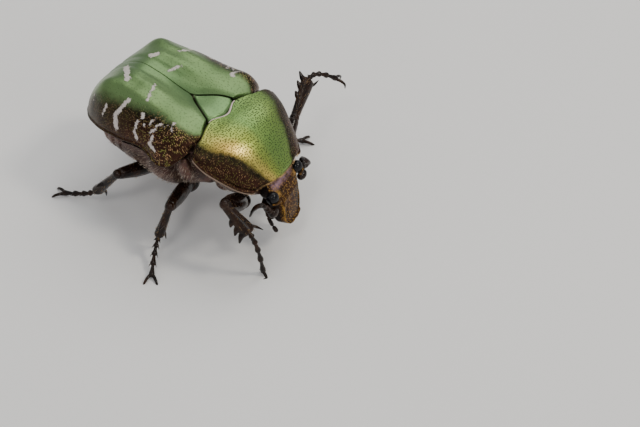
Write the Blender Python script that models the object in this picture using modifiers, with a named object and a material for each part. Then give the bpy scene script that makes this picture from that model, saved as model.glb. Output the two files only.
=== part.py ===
"""Rose chafer: a life-size still model of a metallic green flower beetle, 16 mm long.

Every shape is worked out in millimetres in the beetle's own frame. Its origin is the hind tip of the
scutellum, x runs to the beetle's left, y to its rear and z up. The last step tilts the beetle into its
stance, sets its feet on z = 0 and turns millimetres into metres.
"""

import math

import bmesh
import bpy
import numpy as np
from mathutils import Matrix, Vector

# Driving dimensions in millimetres, angles in degrees
MM = 0.001
GAP = 0.25
SHELL = 0.5
NOSE_DOWN = 5.0
BODY_HEIGHT = 8.9

# Wing covers: outline, crest line and lateral edge, as (y, value) stations
ELYTRON_REAR = 7.4
ELYTRON_ROUNDNESS = 4.2
ELYTRON_FRONT = ((0.0, -2.02), (0.45, -2.45), (0.75, -2.6), (1.0, -2.4))
ELYTRON_WIDTH = (
    (-2.6, 3.4), (-2.2, 4.15), (-1.7, 4.6), (-1.1, 4.75), (0.6, 4.45), (3.0, 4.3),
    (5.0, 3.85), (6.3, 2.98), (7.05, 1.9), (7.4, 0.9),
)
ELYTRON_TOP = (
    (-2.6, -0.3), (-1.0, -0.03), (1.0, 0.06), (3.0, 0.06), (4.8, -0.3), (5.9, -1.2),
    (6.8, -2.5), (7.4, -3.9),
)
ELYTRON_EDGE = (
    (-2.6, -1.1), (-2.2, -1.7), (-1.7, -2.3), (-1.1, -2.6), (0.6, -2.3), (2.8, -2.85),
    (5.0, -3.4), (6.8, -4.1), (7.4, -4.45),
)
# Raised knobs on each wing cover: x, y, height, radius
ELYTRON_KNOBS = ((3.85, -1.4, 0.35, 0.8), (2.9, 5.25, 0.6, 0.85))
COSTA_PLACES = (0.34, 0.6)
COSTA_RISE = 0.1
COSTA_RUN = (0.4, 4.7)
SCUTELLUM_HALF = (
    (-2.2, 1.32), (-1.5, 1.0), (-0.8, 0.6), (-0.35, 0.33), (-0.12, 0.1), (0.2, -0.22),
)
SCUTELLUM_TIP = -0.12
SCUTELLUM_FRONT = ((0.0, -2.45), (0.6, -2.26), (1.0, -1.95))

# Pronotum: the same sort of stations, with its hind and front margins read across the width
PRONOTUM_ROUNDNESS = 2.7
PRONOTUM_WIDTH = (
    (-7.3, 2.05), (-6.4, 2.85), (-5.0, 3.65), (-3.8, 4.1), (-3.0, 4.05), (-2.6, 3.85),
)
PRONOTUM_TOP = (
    (-7.4, -2.75), (-6.9, -2.2), (-6.2, -1.35), (-5.3, -0.65), (-4.0, -0.2), (-2.7, -0.28),
)
PRONOTUM_EDGE = ((-7.3, -3.05), (-6.4, -2.9), (-5.4, -2.4), (-3.8, -1.5), (-2.6, -0.8))
PRONOTUM_HIND = (
    (0.0, -2.8), (0.34, -2.33), (0.52, -2.52), (0.72, -2.82), (0.92, -2.95), (1.0, -3.15),
)
PRONOTUM_FORE = ((0.0, -7.4), (0.6, -7.25), (1.0, -6.95))

# Trunk below the plates: crest, side ledge and belly, as (y, value) stations
LEDGE_DROP = 0.35
TRUNK_INSET = 0.95
THORAX_SPAN = (-2.55, 1.6)
ABDOMEN_SPAN = (1.88, 6.05)
TRUNK_CREST = (
    (-2.6, -1.3), (0.0, -0.95), (3.0, -0.98), (4.5, -1.6), (5.4, -2.9), (6.05, -4.75),
)
TRUNK_SIDE = (
    (-2.6, 3.0), (-1.96, 3.1), (-1.36, 3.7), (-0.8, 4.15), (1.2, 4.25), (3.0, 4.05),
    (4.6, 3.5), (5.5, 2.55), (6.05, 1.75),
)
BELLY = (
    (-2.6, -6.1), (-1.5, -6.55), (1.6, -6.4), (3.0, -6.2), (4.6, -5.95), (5.5, -5.7), (6.05, -5.45),
)
STERNITE_COUNT = 6
STERNITE_STEP = 0.12
PROTHORAX_SPAN = (-6.7, -2.98)
PROTHORAX_SIDE = ((-7.0, 1.8), (-6.0, 2.25), (-4.6, 2.65), (-2.9, 2.6))
PROTHORAX_CREST = ((-6.7, -3.3), (-6.0, -2.55), (-5.0, -1.65), (-4.0, -1.2), (-2.9, -1.3))
PROTHORAX_BELLY = ((-7.0, -3.9), (-6.0, -4.85), (-4.6, -5.6), (-2.9, -5.7))
KNOB_CENTRE = (0.0, -2.75, -6.6)
KNOB_RADIUS = 0.55

# Head: stations along its axis of half-width, height above the axis and depth below it
HEAD_TURN = 10.0
NECK = (0.0, -6.9, 0.0)
HEAD_ROOT = (0.0, -7.0, -3.1)
HEAD_TIP = (0.0, -7.93, -6.12)
HEAD_HALF = (
    (0.0, 1.5), (0.3, 1.62), (0.75, 1.64), (1.2, 1.38), (2.3, 1.32), (2.8, 1.26), (3.16, 1.0),
)
HEAD_ABOVE = ((0.0, 0.0), (0.35, 0.36), (1.1, 0.69), (1.9, 0.62), (3.16, 0.32))
HEAD_BELOW = ((0.0, 1.15), (0.6, 1.1), (1.5, 0.85), (2.4, 0.55), (3.16, 0.42))
CLYPEUS_RIM = 0.16
CLYPEUS_NOTCH = 0.18
EYE_CENTRE = (1.655, -7.458, -3.45)
EYE_RADIUS = 0.48

LEG_SIDES = 8


def curve(stations, at):
    """Reads a smooth line through (place, value) stations, held level beyond both ends."""
    places, values = (np.array(column, float) for column in zip(*stations))
    slopes = np.gradient(values, places)
    at = min(max(at, places[0]), places[-1])
    i = min(int(np.searchsorted(places, at, side="right")), len(places) - 1) - 1
    span = places[i + 1] - places[i]
    t = (at - places[i]) / span
    start = values[i] * (2 * t**3 - 3 * t**2 + 1) + slopes[i] * span * (t**3 - 2 * t**2 + t)
    end = values[i + 1] * (3 * t**2 - 2 * t**3) + slopes[i + 1] * span * (t**3 - t**2)
    return float(start + end)


def smoothstep(low, high, at):
    t = min(max((at - low) / (high - low), 0.0), 1.0)
    return t * t * (3 - 2 * t)


def spread(count):
    """Fractions from 0 to 1, closer together near both ends."""
    return [(1 - math.cos(math.pi * i / count)) / 2 for i in range(count + 1)]


# Surfaces of the hard plates


def dome(share, roundness):
    """Height of a superelliptic arch, from 1 at its crest to 0 at its edge."""
    return math.sqrt(max(0.0, 1 - min(abs(share), 1.0) ** roundness))


def arch_shares(count, roundness):
    """Places across half an arch that follow its bend, from the crest to the edge."""
    return [math.sin(math.pi / 2 * (i / count) ** 1.5) ** (2 / roundness) for i in range(count + 1)]


def elytron_height(x, y):
    """Height of the wing covers' outer face."""
    width = curve(ELYTRON_WIDTH, y)
    edge = curve(ELYTRON_EDGE, y)
    share = abs(x) / width
    arch = dome(share, ELYTRON_ROUNDNESS)
    height = edge + (curve(ELYTRON_TOP, y) - edge) * arch
    for knob_x, knob_y, rise, radius in ELYTRON_KNOBS:
        far = ((abs(x) - knob_x) ** 2 + (y - knob_y) ** 2) / radius**2
        height += rise * math.exp(-far) * arch
    start, end = COSTA_RUN
    run = smoothstep(start, start + 1.5, y) * (1 - smoothstep(end - 1, end, y))
    for place in COSTA_PLACES:
        height += COSTA_RISE * run * math.exp(-(((share - place) / 0.06) ** 2))
    return height


def elytron_inner(y):
    """Distance from the midline of a wing cover's inner edge, along the scutellum and then the suture."""
    return max(GAP / 2, curve(SCUTELLUM_HALF, y) + 1.3 * GAP)


def elytron_grid():
    rows = []
    for along in spread(19):
        row = []
        for share in arch_shares(11, ELYTRON_ROUNDNESS):
            front = curve(ELYTRON_FRONT, share)
            y = front + (ELYTRON_REAR - front) * along
            inner = elytron_inner(y)
            x = inner + (curve(ELYTRON_WIDTH, y) - inner) * share
            row.append((x, y, elytron_height(x, y)))
        rows.append(row)
    return rows


def scutellum_grid():
    rows = []
    for along in (0.0, 0.15, 0.35, 0.55, 0.75, 0.9, 1.0):
        row = []
        for share in (-1.0, -0.66, -0.33, 0.0, 0.33, 0.66, 1.0):
            front = curve(SCUTELLUM_FRONT, abs(share))
            y = front + (SCUTELLUM_TIP - front) * along
            x = share * curve(SCUTELLUM_HALF, y)
            row.append((x, y, curve(ELYTRON_TOP, y) - 0.02 * x * x))
        rows.append(row)
    return rows


def pronotum_grid():
    half = arch_shares(8, PRONOTUM_ROUNDNESS)
    shares = [-share for share in reversed(half[1:])] + half
    rows = []
    for along in spread(11):
        row = []
        for share in shares:
            fore = curve(PRONOTUM_FORE, abs(share))
            y = fore + (curve(PRONOTUM_HIND, abs(share)) - fore) * along
            edge = curve(PRONOTUM_EDGE, y)
            z = edge + (curve(PRONOTUM_TOP, y) - edge) * dome(share, PRONOTUM_ROUNDNESS)
            row.append((share * curve(PRONOTUM_WIDTH, y), y, z))
        rows.append(row)
    return rows


def pygidium_grid():
    """The shield below the wing covers' tips, from its upper edge to its rounded point."""
    rows = []
    for down in spread(6):
        row = []
        for share in (-1.0, -0.75, -0.45, -0.15, 0.15, 0.45, 0.75, 1.0):
            half = 2.25 * math.sqrt(max(0.06, 1 - down**2.2))
            z = -5.1 - 1.15 * down - 0.1 * (1 - down) * (1 - share**2) + 0.1 * share**2
            y = 6.9 - 0.4 * down**1.6 - 0.5 * share**2 * (half / 2.25) ** 2
            row.append((share * half, y, z))
        rows.append(row)
    return rows


# Mesh making


def grid_mesh(rows):
    """An open sheet of quads through rows of points."""
    mesh = bmesh.new()
    points = [[mesh.verts.new(point) for point in row] for row in rows]
    for upper, lower in zip(points, points[1:]):
        for i in range(len(upper) - 1):
            mesh.faces.new((upper[i], upper[i + 1], lower[i + 1], lower[i]))
    return mesh


def loft_mesh(rings):
    """A closed skin over rings of points, with a flat face over each end."""
    mesh = bmesh.new()
    loops = [[mesh.verts.new(point) for point in ring] for ring in rings]
    count = len(loops[0])
    for near, far in zip(loops, loops[1:]):
        for i in range(count):
            mesh.faces.new((near[i], near[(i + 1) % count], far[(i + 1) % count], far[i]))
    mesh.faces.new(reversed(loops[0]))
    mesh.faces.new(loops[-1])
    bmesh.ops.triangulate(mesh, faces=[face for face in mesh.faces if len(face.verts) > 4])
    bmesh.ops.recalc_face_normals(mesh, faces=mesh.faces)
    return mesh


def ball_mesh(centre, radius, sides=12):
    mesh = bmesh.new()
    place = Matrix.Translation(centre)
    bmesh.ops.create_uvsphere(mesh, u_segments=sides, v_segments=sides // 2 + 1, radius=radius, matrix=place)
    return mesh


def mirrored(mesh):
    bmesh.ops.scale(mesh, vec=(-1, 1, 1), verts=mesh.verts)
    bmesh.ops.reverse_faces(mesh, faces=mesh.faces)
    return mesh


def limb_mesh(points, widths, depths, up, sides=LEG_SIDES, start=None, end=None):
    """A limb of oval rings along a line. A plane (point, normal) at either end slants its last ring."""
    points = [Vector(point) for point in points]
    rings = []
    for i, centre in enumerate(points):
        along = (points[min(i + 1, len(points) - 1)] - points[max(i - 1, 0)]).normalized()
        side = along.cross(Vector(up)).normalized()
        lift = side.cross(along)
        ring = []
        for k in range(sides):
            turn = 2 * math.pi * (k + 0.5) / sides
            ring.append(centre + side * widths[i] * math.cos(turn) + lift * depths[i] * math.sin(turn))
        plane = start if i == 0 else end if i == len(points) - 1 else None
        if plane:
            spot, normal = plane
            ring = [point + along * ((spot - point).dot(normal) / along.dot(normal)) for point in ring]
        rings.append(ring)
    return loft_mesh(rings)


def material(name, colour, roughness, metallic=0.0):
    finish = bpy.data.materials.new(name)
    finish.use_nodes = True
    shader = finish.node_tree.nodes["Principled BSDF"]
    shader.inputs["Base Color"].default_value = (*colour, 1)
    shader.inputs["Roughness"].default_value = roughness
    shader.inputs["Metallic"].default_value = metallic
    return finish


def add_object(name, mesh, finish=None, collection=None):
    data = bpy.data.meshes.new(name)
    mesh.to_mesh(data)
    mesh.free()
    obj = bpy.data.objects.new(name, data)
    (collection or BEETLE).objects.link(obj)
    if finish:
        data.materials.append(finish)
    return obj


def remove_object(obj):
    data = obj.data
    bpy.data.objects.remove(obj)
    bpy.data.meshes.remove(data)


def apply_modifiers(obj):
    bpy.context.view_layer.update()
    solid = bpy.data.meshes.new_from_object(obj.evaluated_get(bpy.context.evaluated_depsgraph_get()))
    obj.modifiers.clear()
    old = obj.data
    obj.data = solid
    solid.name = obj.name
    bpy.data.meshes.remove(old)


def keep_largest(obj):
    """Keeps the closed surface that holds the most, and drops sealed hollows and loose scraps."""
    mesh = bmesh.new()
    mesh.from_mesh(obj.data)
    unseen = set(mesh.verts)
    shells = []
    while unseen:
        shell = {unseen.pop()}
        edge = list(shell)
        while edge:
            near = {link.other_vert(vert) for vert in edge for link in vert.link_edges} & unseen
            unseen -= near
            shell |= near
            edge = list(near)
        shells.append(shell)
    largest = max(shells, key=lambda shell: box_volume(shell))
    bmesh.ops.delete(mesh, geom=[vert for vert in mesh.verts if vert not in largest], context="VERTS")
    bmesh.ops.triangulate(mesh, faces=mesh.faces)
    mesh.to_mesh(obj.data)
    mesh.free()


def box_volume(verts):
    places = np.array([vert.co for vert in verts])
    return float(np.prod(places.max(axis=0) - places.min(axis=0)))


def combine(obj, meshes, operation):
    """Joins closed meshes to an object, or cuts them from it, in one Boolean."""
    helpers = bpy.data.collections.new("cutters")
    bpy.context.scene.collection.children.link(helpers)
    for mesh in meshes:
        helper = add_object("helper", mesh, collection=helpers)
        helper.hide_render = True
        helper.display_type = "WIRE"
    boolean = obj.modifiers.new(operation.lower(), "BOOLEAN")
    boolean.operation = operation
    boolean.operand_type = "COLLECTION"
    boolean.collection = helpers
    boolean.solver = "MANIFOLD"
    apply_modifiers(obj)
    for helper in list(helpers.objects):
        remove_object(helper)
    bpy.data.collections.remove(helpers)
    keep_largest(obj)
    return obj


def fused(name, meshes, finish):
    return combine(add_object(name, meshes[0], finish), meshes[1:], "UNION")


def plate(name, mesh, thickness, finish):
    """A hard plate: an open sheet, its outer face, thickened inwards."""
    obj = add_object(name, mesh, finish)
    shell = obj.modifiers.new("thickness", "SOLIDIFY")
    shell.thickness = thickness
    shell.offset = -1
    apply_modifiers(obj)
    return obj


# Body


def make_wing_covers():
    for side in ("left", "right"):
        sheet = grid_mesh(elytron_grid())
        plate("elytron_" + side, sheet if side == "left" else mirrored(sheet), SHELL, SHELL_GREEN)


def make_back_plates():
    plate("scutellum", grid_mesh(scutellum_grid()), SHELL, SHELL_GREEN)
    pronotum = plate("pronotum", grid_mesh(pronotum_grid()), SHELL, SHELL_GREEN)
    combine(pronotum, [head_mesh(GAP, GAP)] + grown_eyes(), "DIFFERENCE")
    plate("pygidium", grid_mesh(pygidium_grid()), SHELL, SHELL_BRONZE)


def make_shoulder_wedges():
    """The mesepimera, which fill the corner between the pronotum and each wing cover."""
    outline = ((-2.72, -1.7), (-2.72, -3.6), (-2.25, -3.75), (-1.9, -3.2), (-2.05, -2.85), (-2.4, -2.3))
    middle = Vector((-2.35, -2.9))
    for side in (1, -1):
        rings = []
        for x, share in ((3.55, 1.0), (3.95, 1.0), (4.15, 0.7)):
            ring = [middle.lerp(Vector(corner), share) for corner in outline]
            rings.append([(side * x, corner.x, corner.y) for corner in ring])
        add_object("mesepimeron_" + ("left" if side > 0 else "right"), loft_mesh(rings), SHELL_BRONZE)


def trunk_ring(y, crest, inner, ledge, outer, belly):
    """One section of the trunk: a low arch under the plates, a ledge below their edge, and the belly."""
    middle = ledge - LEDGE_DROP
    half = []
    for share in (0.3, 0.6, 0.82, 0.95, 1.0):
        half.append((inner * share, middle + (crest - middle) * dome(share, 3.0)))
    for turn in (0.0, 0.2, 0.42, 0.62, 0.82):
        angle = turn * math.pi / 2
        half.append((outer * math.cos(angle) ** 0.95, middle + (belly - middle) * math.sin(angle)))
    ring = [(0.0, y, crest)] + [(x, y, z) for x, z in half] + [(0.0, y, belly)]
    return ring + [(-x, y, z) for x, z in reversed(half)]


def trunk_section(y, inset=0.0):
    outer = curve(TRUNK_SIDE, y) - inset
    inner = min(curve(ELYTRON_WIDTH, y) - TRUNK_INSET, outer - 0.15)
    crest, belly = curve(TRUNK_CREST, y), curve(BELLY, y) + inset
    return trunk_ring(y, crest, inner, curve(ELYTRON_EDGE, y), outer, belly)


def make_hind_thorax():
    rings = [trunk_section(y) for y in np.linspace(*THORAX_SPAN, 8)]
    obj = add_object("hind_thorax", loft_mesh(rings), SHELL_BRONZE)
    combine(obj, [ball_mesh(KNOB_CENTRE, KNOB_RADIUS)], "UNION")
    combine(obj, leg_clearances("midleg") + leg_clearances("hindleg"), "DIFFERENCE")


def make_abdomen():
    """Six sternites. The hind edge of each stands a little proud of the next."""
    start, end = ABDOMEN_SPAN
    rings = []
    for i in range(STERNITE_COUNT):
        front = start + (end - start) * i / STERNITE_COUNT
        back = start + (end - start) * (i + 1) / STERNITE_COUNT
        rings.append(trunk_section(front + 0.05 * (i > 0), STERNITE_STEP * (i > 0)))
        rings.append(trunk_section(back))
    obj = add_object("abdomen", loft_mesh(rings), SHELL_BRONZE)
    combine(obj, leg_clearances("hindleg"), "DIFFERENCE")


def make_prothorax():
    rings = []
    for y in np.linspace(*PROTHORAX_SPAN, 7):
        outer = curve(PROTHORAX_SIDE, y)
        inner = min(curve(PRONOTUM_WIDTH, y) - TRUNK_INSET - 0.1, outer - 0.1)
        crest, belly = curve(PROTHORAX_CREST, y), curve(PROTHORAX_BELLY, y)
        rings.append(trunk_ring(y, crest, inner, curve(PRONOTUM_EDGE, y), outer, belly))
    obj = add_object("prothorax", loft_mesh(rings), SHELL_BRONZE)
    combine(obj, [head_mesh(GAP, 1.0)] + grown_eyes() + leg_clearances("foreleg"), "DIFFERENCE")


# Head


def turned(point):
    """Turns a point of the head a little to the beetle's left, about the neck."""
    neck = Vector(NECK)
    return Matrix.Rotation(math.radians(HEAD_TURN), 3, "Z") @ (Vector(point) - neck) + neck


def head_place(along_head, across, above):
    """A point by its way along the head's axis, its distance to the side and its height above the axis."""
    root = Vector(HEAD_ROOT)
    along = (Vector(HEAD_TIP) - root).normalized()
    upper = along.cross(Vector((1, 0, 0))).normalized()
    return turned(root + along * along_head + Vector((across, 0, 0)) + upper * above)


def head_mesh(grow=0.0, behind=0.0):
    """The head as a loft, with a raised rim round the clypeus and a notch in its front."""
    length = (Vector(HEAD_TIP) - Vector(HEAD_ROOT)).length
    rings = []
    for place in (-behind, 0.3, 0.6, 0.9, 1.25, 1.6, 2.1, 2.5, 2.8, 3.02, length):
        half = curve(HEAD_HALF, place) + grow
        above = curve(HEAD_ABOVE, place) + grow
        below = curve(HEAD_BELOW, place) + grow
        rim = CLYPEUS_RIM * smoothstep(1.3, 2.3, place)
        ring = []
        for across, height in (
            (0.0, 1.0), (0.35, 0.98), (0.66, 0.9), (0.88, 0.72), (1.0, 0.3), (1.0, -0.25),
            (0.86, -0.7), (0.5, -0.95), (0.0, -1.0),
        ):
            lift = height * (above if height > 0 else below) + rim * (across >= 0.88) * (height > 0)
            notch = CLYPEUS_NOTCH * (place == length) * (across < 0.3)
            ring.append((place - notch, across * half, lift))
        ring += [(at, -across, lift) for at, across, lift in reversed(ring[1:-1])]
        rings.append([head_place(*point) for point in ring])
    return loft_mesh(rings)


def eye_centre(side):
    return turned((side * EYE_CENTRE[0], EYE_CENTRE[1], EYE_CENTRE[2]))


def grown_eyes():
    return [ball_mesh(eye_centre(side), EYE_RADIUS + GAP, 14) for side in (1, -1)]


def make_head():
    obj = add_object("head", head_mesh(), SHELL_BRONZE)
    combine(obj, grown_eyes(), "DIFFERENCE")
    for side in (1, -1):
        name = "eye_" + ("left" if side > 0 else "right")
        add_object(name, ball_mesh(eye_centre(side), EYE_RADIUS, 14), EYE_BLACK)


# Feelers: half-sizes along each joint, and the path of the club's middle leaf with the fan of the others
SCAPE_SIZES = (0.26, 0.3, 0.25)
STEM_SIZES = (0.25, 0.25, 0.22)
LEAF_THICKNESS = (0.18, 0.13, 0.13, 0.08)
LEAF_WIDTH = (0.2, 0.34, 0.36, 0.18)
CLUB_RIGHT = (
    (2.42, -7.7, -3.83, 0.04), (2.62, -7.3, -3.85, 0.08), (2.78, -6.9, -4.2, 0.16), (2.84, -6.65, -4.6, 0.2),
)
CLUB_LEFT = (
    (2.4, -7.66, -3.8, 0.05), (2.85, -7.7, -3.95, 0.09), (3.1, -7.65, -4.4, 0.16), (3.14, -7.55, -4.85, 0.2),
)


def make_antenna(side):
    """A bent feeler: a stout first joint, a short stem, and a club of three leaves."""
    def at(x, y, z):
        return turned((side * (x + 0.06), y + 0.25, z - 0.06))

    up = (0, 0, 1)
    scape_line = [at(1.6, -8.0, -4.3), at(1.95, -8.02, -4.34), at(2.27, -7.9, -4.14)]
    stem_line = [at(2.1, -7.98, -4.22), at(2.4, -7.72, -3.85), at(2.48, -7.6, -3.75)]
    pieces = [
        limb_mesh(scape_line, SCAPE_SIZES, SCAPE_SIZES, up, 7),
        limb_mesh(stem_line, STEM_SIZES, STEM_SIZES, up, 6),
    ]
    club, flat = (CLUB_LEFT, (0, 1, 0)) if side > 0 else (CLUB_RIGHT, up)
    for leaf in (-1, 0, 1):
        reach = [at(x + fan * leaf, y, z - 0.2 * fan * leaf) for x, y, z, fan in club]
        pieces.append(limb_mesh(reach, LEAF_THICKNESS, LEAF_WIDTH, flat, 6))
    fused("antenna_" + ("left" if side > 0 else "right"), pieces, GLOSS_BLACK)


def make_mouthparts():
    """The lower lip and jaws as one block under the clypeus, with a feeler on each side."""
    block = [
        (1.75, 0.55, -1.24, 0.2), (1.95, 0.75, -1.18, 0.27), (2.3, 0.75, -1.12, 0.28),
        (2.7, 0.6, -1.02, 0.24), (3.0, 0.3, -0.98, 0.15),
    ]
    rings = []
    for along, half, above, depth in block:
        ring = []
        for k in range(10):
            turn = 2 * math.pi * k / 10
            ring.append(head_place(along, half * math.cos(turn), above + depth * math.sin(turn)))
        rings.append(ring)
    pieces = [loft_mesh(rings)]
    for side in (1, -1):
        feeler = [
            head_place(2.1, side * 0.5, -1.18), head_place(2.55, side * 0.9, -1.06),
            head_place(3.1, side * 1.0, -0.93), head_place(3.55, side * 0.95, -0.88),
        ]
        pieces.append(limb_mesh(feeler, [0.25, 0.25, 0.25, 0.14], [0.25, 0.25, 0.25, 0.14], (0, 0, 1), 6))
    fused("mouthparts", pieces, GLOSS_BLACK)


# Legs. Each has a hip, a knee, an ankle and a foot in the beetle's own frame, for its left side.


def floor_height(y):
    """Where the floor lies in the beetle's own frame, which the stance tilts."""
    tilt = math.radians(NOSE_DOWN)
    return -(BODY_HEIGHT + y * math.sin(tilt)) / math.cos(tilt)


FOOT_RISE = 0.2
LEGS = {
    "foreleg_right": ((-1.7, -5.6, -5.1), (-4.6, -6.2, -2.75), (-4.2, -8.04, -4.49), (-3.6, -8.9, None)),
    "foreleg_left": ((1.7, -5.6, -5.1), (4.9, -4.6, -3.1), (7.7, -3.6, -2.2), (9.9, -4.4, -3.3)),
    "midleg_right": ((-1.5, -1.1, -6.45), (-5.4, -2.5, -4.8), (-6.2, -2.3, -7.1), (-8.2, -3.4, None)),
    "midleg_left": ((1.5, -1.1, -6.45), (5.4, -2.5, -4.8), (6.2, -2.3, -7.1), (8.2, -3.4, None)),
    "hindleg_right": ((-1.3, 1.2, -6.3), (-4.9, 2.2, -5.3), (-4.9, 3.9, -8.0), (-5.5, 6.3, None)),
    "hindleg_left": ((1.3, 1.2, -6.3), (4.9, 2.2, -5.3), (4.9, 3.9, -8.0), (5.5, 6.3, None)),
}
# Half-sizes along each segment, across the leg's plane and within it
FEMUR = {
    "foreleg": ((0.42, 0.5, 0.5, 0.42, 0.34), (0.42, 0.62, 0.62, 0.5, 0.38)),
    "midleg": ((0.42, 0.46, 0.48, 0.42, 0.34), (0.42, 0.62, 0.66, 0.52, 0.38)),
    "hindleg": ((0.42, 0.46, 0.48, 0.42, 0.34), (0.45, 0.74, 0.8, 0.6, 0.38)),
}
TIBIA = {
    "foreleg": ((0.3, 0.28, 0.27, 0.27, 0.27), (0.34, 0.36, 0.42, 0.5, 0.5)),
    "midleg": ((0.3, 0.28, 0.3, 0.34, 0.38), (0.34, 0.32, 0.4, 0.42, 0.5)),
    "hindleg": ((0.3, 0.28, 0.3, 0.34, 0.4), (0.34, 0.32, 0.42, 0.44, 0.54)),
}
# Teeth on each tibia: place along it, height above its edge and lean towards the foot
TIBIA_TEETH = {
    "foreleg": ((0.52, 0.26), (0.74, 0.34), (0.94, 0.42)),
    "midleg": ((0.58, 0.28),),
    "hindleg": ((0.58, 0.28),),
}
SPUR_TURNS = {"foreleg": (0,), "midleg": (-1, 1), "hindleg": (-1, 1)}
COXA_RADIUS = {"foreleg": 0.72, "midleg": 0.7, "hindleg": 0.74}
TARSUS_BEADS = 5
CLAW_SIZES = (0.17, 0.17, 0.13, 0.05)
SPUR_SIZES = (0.16, 0.14, 0.05)
TOOTH_WIDTH = (0.3, 0.24, 0.06)
TOOTH_DEPTH = (0.22, 0.2, 0.06)
FEMUR_RINGS = (0.0, 0.28, 0.55, 0.8, 1.0)
TIBIA_RINGS = (0.0, 0.2, 0.5, 0.8, 1.0)


def leg_points(leg):
    return [Vector((x, y, floor_height(y) + FOOT_RISE if z is None else z)) for x, y, z in LEGS[leg]]


def leg_normal(points):
    """Square to the plane through the hip, knee and ankle."""
    hip, knee, ankle, _ = points
    return (knee - hip).cross(ankle - knee).normalized()


def shin_face(leg):
    """The way the flat of a shin faces. The digging fore shins turn theirs up and outwards."""
    knee, ankle = leg_points(leg)[1:3]
    if not leg.startswith("foreleg"):
        return leg_normal(leg_points(leg))
    along = (ankle - knee).normalized()
    face = Vector((math.copysign(0.58, knee.x), -0.42, 0.7))
    return (face - along * face.dot(along)).normalized()


def joint_plane(before, joint, after):
    """The plane that halves a bend."""
    return ((joint - before).normalized() + (after - joint).normalized()).normalized()


def between(start, end, shares):
    return [start.lerp(end, share) for share in shares]


def femur_mesh(leg, grow=0.0):
    kind = leg.split("_")[0]
    points = leg_points(leg)
    hip, knee, ankle, _ = points
    normal = joint_plane(hip, knee, ankle)
    across, within = FEMUR[kind]
    end = None if grow else (knee - normal * GAP / 2, normal)
    line = between(hip, knee, FEMUR_RINGS)
    widths = [size + grow for size in within]
    depths = [size + grow for size in across]
    return limb_mesh(line, widths, depths, leg_normal(points), 10 - 2 * bool(grow), end=end)


def leg_clearances(kind):
    """Slightly fatter copies of both thighs and hips, which hollow the trunk where they lie."""
    cutters = []
    for side in ("left", "right"):
        leg = kind + "_" + side
        cutters.append(femur_mesh(leg, GAP))
        cutters.append(ball_mesh(leg_points(leg)[0], COXA_RADIUS[kind] + GAP))
    return cutters


def make_femur(leg):
    kind = leg.split("_")[0]
    hip = leg_points(leg)[0]
    fused(leg + "_femur", [femur_mesh(leg), ball_mesh(hip, COXA_RADIUS[kind])], GLOSS_BLACK)


def make_tibia(leg):
    """A shin that widens to its end, with teeth on its outer edge and two spurs at its end."""
    kind = leg.split("_")[0]
    hip, knee, ankle, foot = leg_points(leg)
    square = shin_face(leg)
    start_normal = joint_plane(hip, knee, ankle)
    end_normal = (ankle - knee).normalized()
    across, within = TIBIA[kind]
    start = (knee + start_normal * GAP / 2, start_normal)
    end = (ankle - end_normal * GAP / 2, end_normal)
    line = between(knee, ankle, TIBIA_RINGS)
    shaft = limb_mesh(line, within, across, square, start=start, end=end)
    outward = end_normal.cross(square).normalized()
    if outward.dot(knee - hip) < 0:
        outward = -outward
    pieces = [shaft]
    for place, height in TIBIA_TEETH[kind]:
        edge = np.interp(place, TIBIA_RINGS, within)
        root = knee.lerp(ankle, place) - end_normal * 0.12
        reach = [root, root + outward * edge, root + outward * (edge + height) + end_normal * height * 0.6]
        pieces.append(limb_mesh(reach, TOOTH_WIDTH, TOOTH_DEPTH, square, 6))
    for turn in SPUR_TURNS[kind]:
        root = ankle - end_normal * 0.55 - outward * 0.3 + square * 0.1 * turn
        tip = ankle + end_normal * 0.35 - outward * 0.82 + square * 0.4 * turn
        pieces.append(limb_mesh([root, root.lerp(tip, 0.55), tip], SPUR_SIZES, SPUR_SIZES, square, 5))
    fused(leg + "_tibia", pieces, GLOSS_BLACK)


def tarsus_line(leg):
    """The path of a foot: down from the ankle, then out along the floor."""
    hip, knee, ankle, foot = leg_points(leg)
    shin = (ankle - knee).normalized()
    bend = ankle + shin * 0.8
    if LEGS[leg][3][2] is None:
        bend.z = max(bend.z, foot.z + 0.1)
    line = []
    for i in range(TARSUS_BEADS * 3 + 1):
        t = i / (TARSUS_BEADS * 3)
        line.append(ankle * (1 - t) ** 2 + bend * 2 * t * (1 - t) + foot * t**2)
    return line


def make_tarsus(leg):
    """Five beads that widen towards the foot's end, and two curved claws."""
    hip, knee, ankle, foot = leg_points(leg)
    shin = (ankle - knee).normalized()
    line = tarsus_line(leg)
    widths = [(0.21, 0.27, 0.29)[i % 3] for i in range(len(line) - 1)] + [0.24]
    up = (0, 0, 1)
    chain = limb_mesh(line, widths, widths, up, 6, start=(ankle + shin * GAP / 2, shin))
    pieces = [chain]
    along = (line[-1] - line[-2]).normalized()
    side = along.cross(Vector(up)).normalized()
    down = -side.cross(along)
    for turn in (-1, 1):
        root = line[-1] - along * 0.2 + side * 0.08 * turn
        claw = [root]
        for ahead, aside, below in ((0.4, 0.22, -0.05), (0.72, 0.38, 0.05), (0.85, 0.42, 0.3)):
            claw.append(root + along * ahead + side * aside * turn + down * below)
        pieces.append(limb_mesh(claw, CLAW_SIZES, CLAW_SIZES, up, 5))
    obj = fused(leg + "_tarsus", pieces, GLOSS_BLACK)
    if LEGS[leg][3][2] is None:
        flatten_on_floor(obj)


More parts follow.
